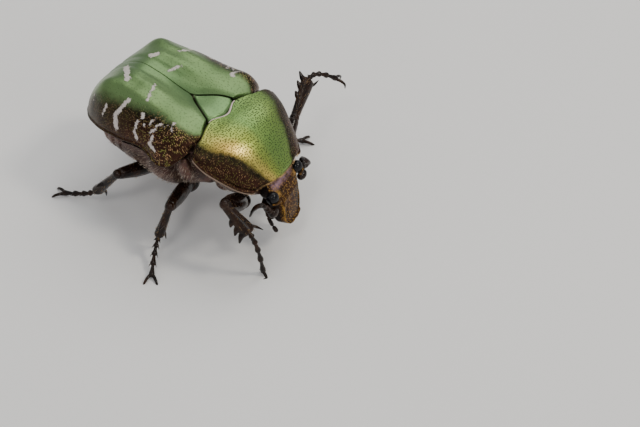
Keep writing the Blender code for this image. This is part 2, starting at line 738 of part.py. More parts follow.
def flatten_on_floor(obj):
    """Cuts off what would sink into the floor, which leaves the foot's small flats at one level."""
    tilt = math.radians(NOSE_DOWN)
    up = Vector((0, math.sin(tilt), math.cos(tilt)))
    mesh = bmesh.new()
    mesh.from_mesh(obj.data)
    geometry = list(mesh.verts) + list(mesh.edges) + list(mesh.faces)
    spot = Vector((0, 0, floor_height(0.0)))
    cut = bmesh.ops.bisect_plane(mesh, geom=geometry, dist=1e-5, plane_co=spot, plane_no=up, clear_inner=True)
    edges = [item for item in cut["geom_cut"] if isinstance(item, bmesh.types.BMEdge)]
    bmesh.ops.holes_fill(mesh, edges=edges, sides=0)
    bmesh.ops.triangulate(mesh, faces=[face for face in mesh.faces if len(face.verts) > 4])
    mesh.to_mesh(obj.data)
    mesh.free()


def set_down(objects):
    """Tilts the beetle into its stance, turns it to metres and centres it over the origin, feet on z = 0."""
    stance = Matrix.Rotation(math.radians(NOSE_DOWN), 4, "X")
    lift = Matrix.Translation((0, 0, BODY_HEIGHT))
    for obj in objects:
        obj.data.transform(lift @ stance)
    points = np.array([vert.co for obj in objects for vert in obj.data.vertices])
    low, high = points.min(axis=0), points.max(axis=0)
    centre = Matrix.Translation((-(low[0] + high[0]) / 2, -(low[1] + high[1]) / 2, -low[2]))
    for obj in objects:
        obj.data.transform(Matrix.Scale(MM, 4) @ centre)
        obj.data.shade_smooth()
        obj.data.set_sharp_from_angle(angle=math.radians(40))


for leftover in list(bpy.data.objects):
    bpy.data.objects.remove(leftover)

BEETLE = bpy.data.collections.new("rose_chafer")
bpy.context.scene.collection.children.link(BEETLE)

SHELL_GREEN = material("metallic green shell", (0.08, 0.26, 0.07), 0.32, 0.85)
SHELL_BRONZE = material("bronze shell", (0.16, 0.09, 0.05), 0.38, 0.75)
GLOSS_BLACK = material("glossy black limbs", (0.02, 0.014, 0.012), 0.22)
EYE_BLACK = material("glossy eyes", (0.01, 0.01, 0.012), 0.08)

make_wing_covers()
make_back_plates()
make_shoulder_wedges()
make_hind_thorax()
make_abdomen()
make_prothorax()
make_head()
for body_side in (1, -1):
    make_antenna(body_side)
make_mouthparts()
for leg_name in LEGS:
    make_femur(leg_name)
    make_tibia(leg_name)
    make_tarsus(leg_name)
set_down(list(BEETLE.objects))
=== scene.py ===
"""Looks of the rose chafer: fine skins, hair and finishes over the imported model.

Shapes are worked out in millimetres in the beetle's own frame: its origin is the hind tip of the
scutellum, x runs to its left, y to its rear and z up. stand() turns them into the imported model's metres.
"""
import math

import bmesh
import bpy
import numpy as np
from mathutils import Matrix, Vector


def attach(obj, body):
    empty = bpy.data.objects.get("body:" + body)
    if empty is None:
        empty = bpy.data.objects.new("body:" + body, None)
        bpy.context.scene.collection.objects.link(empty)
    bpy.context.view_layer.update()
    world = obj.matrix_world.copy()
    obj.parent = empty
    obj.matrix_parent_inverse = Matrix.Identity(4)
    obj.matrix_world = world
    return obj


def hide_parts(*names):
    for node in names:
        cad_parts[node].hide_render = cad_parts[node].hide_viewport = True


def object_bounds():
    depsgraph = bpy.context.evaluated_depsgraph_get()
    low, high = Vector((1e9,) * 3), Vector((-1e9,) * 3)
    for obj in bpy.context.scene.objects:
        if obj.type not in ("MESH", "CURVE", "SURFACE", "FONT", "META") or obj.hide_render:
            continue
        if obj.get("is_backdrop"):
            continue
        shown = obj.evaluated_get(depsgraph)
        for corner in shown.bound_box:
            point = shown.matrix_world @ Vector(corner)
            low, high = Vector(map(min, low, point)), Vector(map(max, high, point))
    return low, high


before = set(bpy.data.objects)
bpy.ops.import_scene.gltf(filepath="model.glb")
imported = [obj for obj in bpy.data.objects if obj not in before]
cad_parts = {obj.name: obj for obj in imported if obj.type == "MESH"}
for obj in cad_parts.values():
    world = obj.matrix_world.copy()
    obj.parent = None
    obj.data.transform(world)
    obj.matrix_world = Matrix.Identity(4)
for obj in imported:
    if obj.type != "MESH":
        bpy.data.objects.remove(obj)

PACKED_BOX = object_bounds()
RANDOM = np.random.default_rng(16)

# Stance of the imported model, in degrees and millimetres
NOSE_DOWN = 5
SHIFT = (-0.812, 0.407, 8.9)

SIDES = (("left", 1), ("right", -1))  # with the sign of x

# Stations of the hard plates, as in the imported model
ELYTRON_REAR = 7.4
ELYTRON_ROUNDNESS = 4.2
ELYTRON_FRONT = ((0, -2.02), (0.45, -2.45), (0.75, -2.6), (1, -2.4))
ELYTRON_WIDTH = (
    (-2.6, 3.4), (-2.2, 4.15), (-1.7, 4.6), (-1.1, 4.75), (0.6, 4.45), (3, 4.3),
    (5, 3.85), (6.3, 2.98), (7.05, 1.9), (7.4, 0.9),
)
ELYTRON_TOP = (
    (-2.6, -0.3), (-1, -0.03), (1, 0.06), (3, 0.06), (4.8, -0.3), (5.9, -1.2),
    (6.8, -2.5), (7.15, -3.28), (7.4, -4.3),
)
ELYTRON_EDGE = (
    (-2.6, -1.1), (-2.2, -1.7), (-1.7, -2.3), (-1.1, -2.6), (0.6, -2.3), (2.8, -2.85),
    (5, -3.4), (6.8, -4.1), (7.4, -4.45),
)
ELYTRON_KNOBS = ((3.85, -1.4, 0.35, 0.8), (2.9, 5.25, 0.6, 0.85))  # x, y, rise and radius
COSTA_PLACES = (0.34, 0.6)  # shares of the half width
SCUTELLUM_HALF = ((-2.2, 1.32), (-1.5, 1), (-0.8, 0.6), (-0.35, 0.3), (-0.1, 0.12), (0.02, 0.02))
SCUTELLUM_FRONT = ((0, -2.45), (0.6, -2.26), (1, -1.95))
PRONOTUM_ROUNDNESS = 2.7
PRONOTUM_WIDTH = (
    (-7.3, 2.05), (-6.4, 2.85), (-5, 3.65), (-3.8, 4.1), (-3, 4.05), (-2.6, 3.85),
)
PRONOTUM_TOP = (
    (-7.4, -2.75), (-6.9, -2.2), (-6.2, -1.35), (-5.3, -0.65), (-4, -0.2), (-2.7, -0.28),
)
PRONOTUM_EDGE = ((-7.3, -3.05), (-6.4, -2.9), (-5.4, -2.4), (-3.8, -1.5), (-2.6, -0.8))
PRONOTUM_HIND = (
    (-0.34, -2.29), (0, -2.74), (0.34, -2.29), (0.52, -2.46), (0.72, -2.76), (0.92, -2.9), (1, -3.12),
)
PRONOTUM_FORE = ((0, -7.4), (0.6, -7.25), (1, -6.95))
WING_THICKNESS, SCUTELLUM_THICKNESS, PRONOTUM_THICKNESS = 0.13, 0.15, 0.14

# Where the green of each plate turns to bronze under a painted dark reflection, as a share of its half width
ELYTRON_GREEN = (
    (-2.6, 0.54), (-1, 0.56), (0.4, 0.63), (1.8, 0.71), (3.6, 0.79), (5.5, 0.84), (7.2, 0.9),
)
PRONOTUM_GREEN = ((-7.4, 0.47), (-6.8, 0.52), (-6.1, 0.57), (-5.1, 0.61), (-4, 0.72), (-2.6, 0.76))
WELL_IN_THE_GREEN = -0.6
WING_GOLD_HIGHLIGHT = 0.07  # the painted gold highlight is strong on the pronotum only

# Pale scale marks on the wing covers: strokes of (x, y) points with their half width
FLANK_MARKS = (
    (0.14, (3.5, 1.42), (3.62, 1.3)), (0.08, (3.91, 0.98), (3.93, 0.92)),
    (0.09, (3.82, 0.6), (3.36, 0.52)), (0.1, (4.13, 0.36), (3.89, 0.04)),
    (0.08, (3.71, 0.12), (3.48, -0.15)), (0.06, (3.3, -0.1), (3.3, -0.14)),
    (0.06, (3.55, -0.36), (3.56, -0.38)), (0.06, (3.39, -0.52), (3.38, -0.54)),
    (0.07, (3.09, -0.8), (3.4, -0.88), (3.68, -1.14)), (0.13, (3.88, 1.5), (4.23, 1.46), (4.39, 1.05)),
    (0.11, (4.18, 0.02), (4.44, 0.09), (4.57, -0.47)),
    (0.17, (3.18, 2.85), (3.71, 3.07), (3.96, 3.28), (4.13, 3.1), (4.24, 2.9)),
    (0.1, (3.95, 4.35), (3.7, 4.2)), (0.09, (3.3, 5.6), (3.05, 5.75)), (0.08, (2.5, 6.35), (2.1, 6.45)),
)
DISC_MARKS = {
    "right": ((0.2, (0.6, 5.15), (1.2, 4.6), (1.95, 3.95)), (0.1, (1.14, 2.28), (1.94, 1.98), (2.62, 1.76))),
    "left": (
        (0.22, (0.85, 4.25), (1.1, 4)), (0.12, (0.45, 2.5), (1.19, 2.08)), (0.14, (2.8, -0.9), (3, -0.8)),
        (0.12, (2.3, 3.1), (2.8, 2.7)),
    ),
}
NO_MARK_NEAR = 9.0  # millimetres

# Trunk
LEDGE_DROP = 0.35
TRUNK_CREST = ((-2.6, -1.3), (0, -0.95), (3, -0.98), (4.5, -1.6), (5.4, -2.9), (6.05, -4.75))
TRUNK_SIDE = (
    (-2.6, 3), (-1.96, 3.1), (-1.36, 3.7), (-0.8, 4.15), (1.2, 4.25), (3, 4.05),
    (4.6, 3.5), (5.5, 2.55), (6.05, 1.75),
)
BELLY = (
    (-2.6, -6.1), (-1.5, -6.55), (1.6, -6.4), (3, -6.2), (4.6, -6.05), (5.5, -5.95), (6.05, -5.8),
)
PROTHORAX_SIDE = ((-7, 1.8), (-6, 2.25), (-4.6, 2.65), (-2.9, 2.6))
PROTHORAX_CREST = ((-6.7, -3.3), (-6, -2.55), (-5, -1.65), (-4, -1.2), (-2.9, -1.3))
PROTHORAX_BELLY = ((-7, -3.9), (-6, -4.85), (-4.6, -5.6), (-2.9, -5.7))
ABDOMEN_SPAN, ABDOMEN_RINGS, GROOVE_DEPTH = (1.88, 6.05), 6, 0.13
BREAST_KNOB, BREAST_KNOB_HALVES = (0, -2.75, -6.55), (0.5, 0.62, 0.45)
WEDGE_CENTRE, WEDGE_HALVES = (3.72, -2.36, -2.75), (0.42, 0.56, 1)
PYGIDIUM_ROOT, PYGIDIUM_LENGTH = (5.3, -5.2), 1.55
PYGIDIUM_WIDE, PYGIDIUM_HIGH = 2.3, 0.94

# Head: stations along its axis
HEAD_TURN = math.radians(10)
HEAD_MATRIX = np.array((
    (math.cos(HEAD_TURN), -math.sin(HEAD_TURN), 0), (math.sin(HEAD_TURN), math.cos(HEAD_TURN), 0), (0, 0, 1),
))
NECK = np.array((0, -6.9, 0))
HEAD_ROOT = np.array((0, -7, -3.1))
HEAD_TIP = np.array((0, -7.93, -6.12))
HEAD_START, HEAD_END = -0.6, 3.4
HEAD_HALF = (
    (-0.6, 1.35), (0, 1.52), (0.3, 1.6), (0.75, 1.6), (1.15, 1.26), (1.6, 1.1), (2.3, 1.08),
    (2.9, 0.96), (3.4, 0.76),
)
HEAD_ABOVE = ((-0.6, -0.45), (0, 0.08), (0.35, 0.42), (0.8, 0.6), (1.3, 0.66), (2.4, 0.66), (3.4, 0.56))
HEAD_BELOW = ((-0.6, 1.1), (0, 1.15), (0.6, 1.1), (1.5, 0.85), (2.4, 0.55), (3.4, 0.26))

# Half a turn round the head, from the crown to the chin: how far out and how high its skin runs
HEAD_TURNS = (0, 0.12, 0.24, 0.34, 0.45, 0.58, 0.72, 0.86, 1)
HEAD_ACROSS = tuple(zip(HEAD_TURNS, (0, 0.35, 0.66, 0.88, 1, 1, 0.86, 0.5, 0)))
HEAD_HEIGHT = tuple(zip(HEAD_TURNS, (1, 0.97, 0.88, 0.66, 0.22, -0.25, -0.7, -0.95, -1)))
CLYPEUS_HEIGHT = tuple(zip(HEAD_TURNS, (1, 0.99, 0.97, 0.92, 0.3, -0.25, -0.7, -0.95, -1)))

EYE_CENTRE, EYE_HALVES = (1.655, -7.458, -3.53), (0.44, 0.4, 0.44)
EYE_BAR = ((-0.28, -0.38, -0.3), (0.02, -0.42, -0.26), (0.26, -0.34, -0.2), (0.4, -0.18, -0.16))
FEELER_SHIFT = np.array((0.06, 0.25, -0.06))
FEELER_ROOT = ((1.5, -8, -4.3), (1.95, -8.02, -4.34), (2.27, -7.9, -4.14))
FEELER_STEM = ((2.2, -7.95, -4.15), (2.3, -7.84, -3.88), (2.38, -7.76, -3.66), (2.48, -7.64, -3.5))
# Club of each feeler: its middle leaf, with how far the other two stand off it
CLUB_RIGHT = (
    (2.42, -7.72, -3.55, 0.04), (2.66, -7.42, -3.36, 0.07), (2.84, -7.1, -3.6, 0.1), (2.94, -6.9, -4.2, 0.12),
)
CLUB_LEFT = (
    (2.4, -7.66, -3.8, 0.05), (2.85, -7.7, -3.95, 0.09), (3.1, -7.65, -4.4, 0.16), (3.14, -7.55, -4.85, 0.2),
)
# Upper lip: way along the head, half width, height and half depth
LIP = (
    (1.75, 0.55, -1.24, 0.2), (1.95, 0.75, -1.18, 0.27), (2.3, 0.75, -1.12, 0.28),
    (2.7, 0.6, -1.02, 0.24), (3, 0.3, -0.98, 0.15),
)
PALP = ((2.2, 0.5, -1.1), (2.75, 0.85, -0.85), (3.3, 1, -0.5), (3.75, 1, -0.28))
JAW = ((1.9, 0.75, -0.75), (2.6, 0.95, -0.62), (3.05, 0.5, -0.6))

# Legs: hip, knee, ankle and foot. A foot without a height stands on the floor, its middle FOOT_RISE above it
FOOT_RISE = 0.2
LEGS = {
    "foreleg_right": ((-1.7, -5.6, -5.1), (-4.6, -6.2, -2.75), (-4.2, -8.04, -4.49), (-3.6, -8.9, None)),
    "foreleg_left": ((1.7, -5.6, -5.1), (4.9, -4.6, -3.1), (7.7, -3.6, -2.2), (9.9, -4.4, -3.3)),
}
for pair, left in (
    ("midleg", ((1.5, -1.1, -6.45), (5.4, -2.5, -4.8), (6.2, -2.3, -7.1), (8.2, -3.4, None))),
    ("hindleg", ((1.3, 1.2, -6.3), (4.9, 2.2, -5.3), (4.9, 3.9, -8), (5.5, 6.3, None))),
):
    LEGS[pair + "_right"] = tuple((-x, y, z) for x, y, z in left)
    LEGS[pair + "_left"] = left
# Half sizes of thigh and shin at five places, across and within the leg's plane
THIGH_PLACES, SHIN_PLACES = (0, 0.28, 0.55, 0.8, 1.02), (-0.03, 0.2, 0.5, 0.8, 1)
THIGH_HALVES = {
    "foreleg": ((0.42, 0.5, 0.5, 0.42, 0.34), (0.42, 0.62, 0.62, 0.5, 0.38)),
    "midleg": ((0.42, 0.46, 0.48, 0.42, 0.34), (0.42, 0.62, 0.66, 0.52, 0.38)),
    "hindleg": ((0.42, 0.46, 0.48, 0.42, 0.34), (0.45, 0.74, 0.8, 0.6, 0.38)),
}
SHIN_HALVES = {
    "foreleg": ((0.26, 0.25, 0.25, 0.26, 0.27), (0.3, 0.34, 0.42, 0.5, 0.5)),
    "midleg": ((0.26, 0.25, 0.28, 0.33, 0.38), (0.3, 0.3, 0.38, 0.42, 0.5)),
    "hindleg": ((0.26, 0.25, 0.28, 0.33, 0.4), (0.3, 0.3, 0.4, 0.44, 0.54)),
}
# Teeth along the shin: place and height
SHIN_TEETH = {
    "foreleg": ((0.52, 0.26), (0.74, 0.34), (0.94, 0.42)),
    "midleg": ((0.58, 0.28),), "hindleg": ((0.58, 0.28),),
}
SPUR_TURNS = {"foreleg": (0,), "midleg": (-1, 1), "hindleg": (-1, 1)}
HIP_RADIUS = {"foreleg": 0.5184, "midleg": 0.7, "hindleg": 0.74}
KNEE_RADIUS = 0.33
FOOT_BEADS = (0.2, 0.2, 0.2, 0.2, 0.19)
CLAW = ((0.35, 0.2, -0.07), (0.66, 0.34, 0), (0.84, 0.4, 0.24))  # ahead, aside and down

SHARP_EDGE = math.radians(50)
ABOVE_FLOOR = 0.00001


# Reading the stations


def curve(stations, at):
    """Reads a smooth line through (place, value) stations, held level beyond both ends."""
    places, values = (np.array(column, float) for column in zip(*stations))
    slopes = np.gradient(values, places)
    at = np.clip(at, places[0], places[-1])
    i = np.clip(np.searchsorted(places, at, side="right") - 1, 0, len(places) - 2)
    span = places[i + 1] - places[i]
    t = (at - places[i]) / span
    start = values[i] * (2 * t**3 - 3 * t**2 + 1) + slopes[i] * span * (t**3 - 2 * t**2 + t)
    return start + values[i + 1] * (3 * t**2 - 2 * t**3) + slopes[i + 1] * span * (t**3 - t**2)


def ease(low, high, at):
    """0 below low and 1 above high, with a soft rise between."""
    t = np.clip((at - low) / (high - low), 0, 1)
    return t * t * (3 - 2 * t)


def fall(low, high, at):
    """1 below low and 0 above high."""
    return 1 - ease(low, high, at)


def bell(at, middle, width):
    """1 at the middle, falling off to both sides."""
    return np.exp(-(((at - middle) / width) ** 2))


def spread(count):
    """Fractions from 0 to 1, closer together near both ends."""
    return (1 - np.cos(np.pi * np.arange(count + 1) / count)) / 2


def dome(share, roundness):
    """Height of an arch from its crest at share 0 to its foot at share 1."""
    return np.sqrt(np.maximum(0, 1 - np.minimum(np.abs(share), 1) ** roundness))


def arch_shares(count, roundness):
    """Places across half an arch that follow its bend, from the crest to the edge."""
    return np.sin(np.pi / 2 * (np.arange(count + 1) / count) ** 1.25) ** (2 / roundness)


def circle(count, offset=0):
    """Angles round a full turn, as a row."""
    return 2 * np.pi * (np.arange(count)[None] + offset) / count


def unit(vectors):
    return vectors / np.maximum(np.linalg.norm(vectors, axis=-1, keepdims=True), 1e-9)


def stand(points):
    """The beetle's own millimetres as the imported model's metres."""
    x, y, z = np.moveaxis(np.asarray(points, float), -1, 0)
    sin, cos = math.sin(math.radians(NOSE_DOWN)), math.cos(math.radians(NOSE_DOWN))
    return np.stack([x + SHIFT[0], y * cos - z * sin + SHIFT[1], y * sin + z * cos + SHIFT[2]], -1) / 1000


def floor_height(y):
    """Where the floor lies in the beetle's own frame."""
    tilt = math.radians(NOSE_DOWN)
    return -(SHIFT[2] + y * math.sin(tilt)) / math.cos(tilt)


# Skins: arrays of rows and columns of points. A ring skin closes on itself across its columns.
# Bodies: points with faces.


def facing(skin, ring=False):
    """Which way a skin faces at each point."""
    along = np.gradient(skin, axis=0)
    across = (np.roll(skin, -1, 1) - np.roll(skin, 1, 1)) if ring else np.gradient(skin, axis=1)
    normal = unit(np.cross(along, across))
    outside = skin - skin.mean(axis=1, keepdims=True) if ring else np.array((0, 0, 1))
    return normal * (1 if (normal * outside).sum() > 0 else -1)


def from_first_column(skin):
    """Distance over a skin from its first column."""
    steps = np.linalg.norm(np.diff(skin, axis=1), axis=-1)
    return np.concatenate([np.zeros((len(skin), 1)), np.cumsum(steps, axis=1)], axis=1)


def from_last_column(skin):
    return from_first_column(skin[:, ::-1])[:, ::-1]


def from_first_row(skin):
    return from_first_column(skin.swapaxes(0, 1)).T


def numbers(skin):
    """A skin's point numbers by row and column, and the loop of them round its border."""
    index = np.arange(skin.shape[0] * skin.shape[1]).reshape(skin.shape[:2])
    return index, np.concatenate([index[0, :-1], index[:-1, -1], index[-1, :0:-1], index[:0:-1, 0]])


def quads(index):
    """Faces between neighbouring rows and columns of point numbers."""
    return np.stack([index[:-1, :-1], index[:-1, 1:], index[1:, 1:], index[1:, :-1]], -1).reshape(-1, 4)


def plate(skin, thickness):
    """A thin closed plate under an open skin, with a rounded edge."""
    inner = skin - facing(skin) * thickness
    away = np.zeros_like(skin)
    away[0] += skin[0] - skin[1]
    away[-1] += skin[-1] - skin[-2]
    away[:, 0] += skin[:, 0] - skin[:, 1]
    away[:, -1] += skin[:, -1] - skin[:, -2]
    index, loop = numbers(skin)
    edge = ((skin + inner) / 2 + unit(away) * thickness * 0.4).reshape(-1, 3)[loop]
    points = np.concatenate([skin.reshape(-1, 3), inner.reshape(-1, 3), edge])
    strip = np.stack([loop, np.arange(len(loop)) + 2 * index.size, loop + index.size])
    strip = np.concatenate([strip, strip[:, :1]], axis=1)
    faces = [quads(index), quads(index + index.size)[:, ::-1], quads(strip)]
    return points, np.concatenate(faces).tolist()


def closed(skin):
    """A ring skin with both ends closed."""
    index, _ = numbers(skin)
    faces = quads(np.concatenate([index, index[:, :1]], axis=1)).tolist()
    for tip, row in enumerate((index[0], index[-1]), index.size):
        faces += [[tip, here, after] for here, after in zip(row, np.roll(row, -1))]
    return np.concatenate([skin.reshape(-1, 3), [skin[0].mean(axis=0), skin[-1].mean(axis=0)]]), faces


def joined(*bodies):
    """Several bodies as one."""
    points, faces, start = [], [], 0
    for body_points, body_faces in bodies:
        points.append(body_points)
        faces += [[start + i for i in face] for face in body_faces]
        start += len(body_points)
    return np.concatenate(points), faces


def mirrored(skin):
    return skin * np.array((-1, 1, 1))


def limb(path, wide, deep=None, up=(0, 0, 1), rings=24, sides=20):
    """A ring skin round a smooth path, with half sizes at the path's points and rounded ends."""
    path = np.array(path, float)
    knots = np.concatenate([[0], np.cumsum(np.linalg.norm(np.diff(path, axis=0), axis=1))])
    at = spread(rings) * knots[-1]
    centre = np.stack([curve(zip(knots, column), at) for column in path.T], -1)
    half = np.stack([curve(zip(knots, sizes), at) for sizes in (wide, wide if deep is None else deep)], -1)
    for end, from_end in ((0, at), (-1, knots[-1] - at)):
        inward = 1 - np.clip(1 - from_end / half[end].min(), 0, 1) ** 2
        half *= np.sqrt(np.clip(inward, 0.004, 1))[:, None]
    along = unit(np.gradient(centre, at, axis=0))
    side = unit(np.cross(along, np.array(up, float)))
    lift = np.cross(side, along)
    turn = circle(sides, 0.5)
    wheel = side[:, None] * (half[:, :1] * np.cos(turn))[..., None]
    return centre[:, None] + wheel + lift[:, None] * (half[:, 1:] * np.sin(turn))[..., None]


def rod(*shape, **options):
    """A closed limb."""
    return closed(limb(*shape, **options))


def ball(centre, radii, rings=20, sides=28, pole=(0, 0, 1)):
    """A rounded lump with half sizes along three directions, the last along its pole."""
    pole = unit(np.array(pole, float))
    side = unit(np.cross(pole, (0.3, 1, 0.2)))
    lift = np.cross(pole, side)
    down = np.pi * np.clip(np.arange(rings + 1) / rings, 0.004, 0.996)[:, None]
    turn = circle(sides)
    x = radii[0] * np.sin(down) * np.cos(turn)
    y = radii[1] * np.sin(down) * np.sin(turn)
    z = radii[2] * np.cos(down) + 0 * turn
    return np.array(centre) + x[..., None] * side + y[..., None] * lift + z[..., None] * pole


# Pieces


def add_piece(name, data, finish, nodes=()):
    """Puts a mesh into the scene as a piece of the one body, in place of the named parts of the CAD."""
    obj = bpy.data.objects.new(name, data)
    bpy.context.scene.collection.objects.link(obj)
    data.materials.append(finish)
    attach(obj, "root")
    if nodes:
        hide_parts(*nodes)


def place_piece(name, body, finish, nodes, facts=None, on_floor=False):
    """Makes a piece from a body in the beetle's frame. facts are values at its points."""
    points, faces = body
    world = stand(points)
    if on_floor:
        world[:, 2] = np.maximum(world[:, 2], ABOVE_FLOOR)
    data = bpy.data.meshes.new(name)
    data.from_pydata(world.tolist(), [], faces)
    for fact, values in (facts or {}).items():
        data.attributes.new(fact, "FLOAT", "POINT").data.foreach_set("value", np.asarray(values, np.float32))
    mesh = bmesh.new()
    mesh.from_mesh(data)
    bmesh.ops.recalc_face_normals(mesh, faces=mesh.faces)
    mesh.to_mesh(data)
    mesh.free()
    data.shade_smooth()
    data.set_sharp_from_angle(angle=SHARP_EDGE)
    add_piece(name, data, finish, nodes)


def place_plate(name, skin, thickness, finish, node, facts):
    """Makes a plate, with the same facts on its outer face, inner face and edge."""
    loop = numbers(skin)[1]
    facts = {fact: values.reshape(-1) for fact, values in facts.items()}
    facts = {fact: np.concatenate([values, values, values[loop]]) for fact, values in facts.items()}
    place_piece(name, plate(skin, thickness), finish, [node], facts)


# Hard plates. Their facts tell the finish how far a point lies into the flank and its painted dark
# reflection, the rim and its painted seam shade, the shoulder with its painted glints, and the painted
# gold highlight, its distance to the pale marks, and its place over the skin in millimetres.


def sag(x, y):
    """The shallow dip round the hind tip of the scutellum."""
    return 0.42 * ease(-2.3, -0.1, y) * fall(0.2, 4.6, y) * bell(x, 0, 1.3)


def elytron_height(x, y):
    """Height of the wing covers' outer face."""
    edge = curve(ELYTRON_EDGE, y)
    share = np.abs(x) / curve(ELYTRON_WIDTH, y)
    arch = dome(share, ELYTRON_ROUNDNESS)
    height = edge + (curve(ELYTRON_TOP, y) - edge) * arch
    for knob_x, knob_y, rise, radius in ELYTRON_KNOBS:
        height = height + rise * np.exp(-((np.abs(x) - knob_x) ** 2 + (y - knob_y) ** 2) / radius**2) * arch
    run = ease(0.4, 1.9, y) * fall(3.7, 4.7, y)
    for rib in COSTA_PLACES:
        height = height + 0.06 * run * bell(share, rib, 0.08)
    return height - sag(x, y)


def stroke_distance(points, strokes):
    """Distance from each point to the nearest stroke's edge, below zero inside it."""
    nearest = np.full(points.shape[:-1], NO_MARK_NEAR)
    for half, *line in strokes:
        line = np.array(line, float)
        line = np.concatenate([np.linspace(a, b, 9) for a, b in zip(line, line[1:])])
        for spot in np.column_stack([line, elytron_height(line[:, 0], line[:, 1])]):
            nearest = np.minimum(nearest, np.linalg.norm(points - spot, axis=-1) - half)
    return nearest


def make_wing_covers(finish):
    """Two covers with a raised seam, ribs and a beaded rim, that tuck in under the pronotum."""
    along = spread(150)[:, None]
    share = arch_shares(84, ELYTRON_ROUNDNESS)[None]
    front = curve(ELYTRON_FRONT, share) - 0.26
    y = front + (ELYTRON_REAR - front) * along
    inner = np.maximum(0.03, curve(SCUTELLUM_HALF, y) + 0.12 * fall(-0.1, 0.5, y))
    x = inner + (curve(ELYTRON_WIDTH, y) - inner) * share
    skin = np.stack([x, y, elytron_height(x, y)], -1)
    seam, rim = from_first_column(skin), from_last_column(skin)
    ridge = ease(0.6, 3, y) * (0.07 * bell(seam, 0.13, 0.12) - 0.09 * bell(seam, 0.5, 0.2))
    relief = ridge - 0.1 * bell(seam, 0, 0.05) - 0.34 * fall(0, 0.26, y - front)
    relief += 0.05 * bell(rim, 0.05, 0.06) - 0.05 * bell(rim, 0.2, 0.07)
    skin = skin + facing(skin) * relief[..., None]
    facts = {
        # where the bronze flank takes a painted dark reflection
        "flank": share - curve(ELYTRON_GREEN, y),
        # the brown edge, and painted shade along the seam between the covers
        "rim": np.maximum(bell(rim, 0.03, 0.07), 0.5 * bell(seam, 0, 0.04)),
        # where the painted glints gather most
        "shoulder": bell(y, -1, 1.9) * ease(0.5, 0.68, share),
        # a faint painted gold highlight
        "gold_highlight": 0 * y + WING_GOLD_HIGHLIGHT,
        "span": inner + seam,
        "reach": front + from_first_row(skin),
    }
    for side, _ in SIDES:
        facts["marks"] = stroke_distance(skin, FLANK_MARKS + DISC_MARKS[side])
        own = skin if side == "left" else mirrored(skin)
        place_plate("wing_cover_" + side, own, WING_THICKNESS, finish, "elytron_" + side, facts)


def make_scutellum(finish):
    """A smooth shield with a sunk border, level with the wing covers round it."""
    along = spread(50)[:, None]
    share = np.linspace(-1, 1, 61)[None]
    front = curve(SCUTELLUM_FRONT, np.abs(share)) - 0.35
    y = front - front * along
    half = curve(SCUTELLUM_HALF, y)
    x = share * half
    inside = half * (1 - np.abs(share))
    z = curve(ELYTRON_TOP, y) - 0.02 * x * x - sag(x, y)
    z = z - 0.12 * bell(inside, 0, 0.07) * ease(0, 0.15, half) - 0.02 * fall(0, 0.5, inside)
    z = z - 0.3 * fall(0, 0.38, y - front)
    facts = {
        # rim lays painted shade in the seam round the shield
        "flank": WELL_IN_THE_GREEN + 0 * z, "rim": bell(inside, 0, 0.06), "shoulder": 0 * z, "gold_highlight": 0 * z,
        "marks": NO_MARK_NEAR + 0 * z, "span": x, "reach": y,
    }
    skin = np.stack([x, y, z], -1)
    place_plate("scutellum_shield", skin, SCUTELLUM_THICKNESS, finish, "scutellum", facts)


def make_pronotum(finish):
    """The arched shield behind the head, with a raised side rim. Its painted gold highlight is stronger on
    the right.
    """
    half = arch_shares(78, PRONOTUM_ROUNDNESS)
    share = np.concatenate([-half[:0:-1], half])[None]
    fore, hind = curve(PRONOTUM_FORE, np.abs(share)), curve(PRONOTUM_HIND, np.abs(share))
    y = fore + (hind - fore) * spread(110)[:, None]
    edge = curve(PRONOTUM_EDGE, y)
    z = edge + (curve(PRONOTUM_TOP, y) - edge) * dome(share, PRONOTUM_ROUNDNESS)
    x = share * curve(PRONOTUM_WIDTH, y)
    skin = np.stack([x, y, z], -1)
    side = np.minimum(from_first_column(skin), from_last_column(skin))
    back, ahead = hind - y, y - fore
    relief = 0.07 * bell(side, 0.07, 0.07) - 0.06 * bell(side, 0.24, 0.09)
    relief -= 0.09 * bell(back, 0, 0.06) + 0.1 * bell(ahead, 0, 0.07)
    relief += 0.015 * bell(ahead, 0.16, 0.08) * ease(0.2, 0.6, np.abs(share))
    skin = skin + facing(skin) * relief[..., None]
    span = from_first_column(skin)
    # The flank value places the painted dark reflection over the bronze sides
    flank = np.abs(share) - curve(PRONOTUM_GREEN, y)
    # Painted shade in the seams at the hind and front edges
    ends = np.maximum(0.8 * bell(back, 0, 0.05), 0.5 * bell(ahead, 0, 0.06))
    # Painted gold highlight, strongest at the middle and the front, and stronger on the right side
    gold_highlight = 0.45 + 0.5 * bell(y, -4.7, 1.3) + 0.4 * bell(y, -7.2, 0.9)
    facts = {
        "flank": flank,
        "rim": np.maximum(bell(side, 0.05, 0.07), ends),
        # painted glints on the lower flank
        "shoulder": 0.22 * ease(0.08, 0.28, flank),
        "gold_highlight": gold_highlight * (0.2 + 0.8 * fall(-0.6, 0.6, x)),
        "marks": NO_MARK_NEAR + 0 * y,
        "span": span - span[:, span.shape[1] // 2][:, None],
        "reach": fore + from_first_row(skin),
    }
    place_plate("pronotum_shield", skin, PRONOTUM_THICKNESS, finish, "pronotum", facts)
    return skin


def make_margin_beads(pale, brown, pronotum):
    """The pronotum's fine beading: pale along the middle of its hind edge, brown along its sides."""
    hind = pronotum[-1]
    middle = hind[np.abs(hind[:, 0]) < 1.45][::4] + (0, 0, -0.01)
    swell = 0.035 + 0.06 * bell(middle[:, 0], 0.3, 0.9)
    pale_bead = rod(middle, swell, [0.052] * len(middle), rings=60, sides=10)
    place_piece("hind_margin_bead", pale_bead, pale, [])
    sides = []
    for column, outward in ((0, -0.02), (-1, 0.02)):
        line = pronotum[3:-2:6, column] + (outward, 0, -0.02)
        sides.append(rod(line, [0.04] * len(line), rings=90, sides=10))
    place_piece("side_margin_beads", joined(*sides), brown, [])


# Trunk


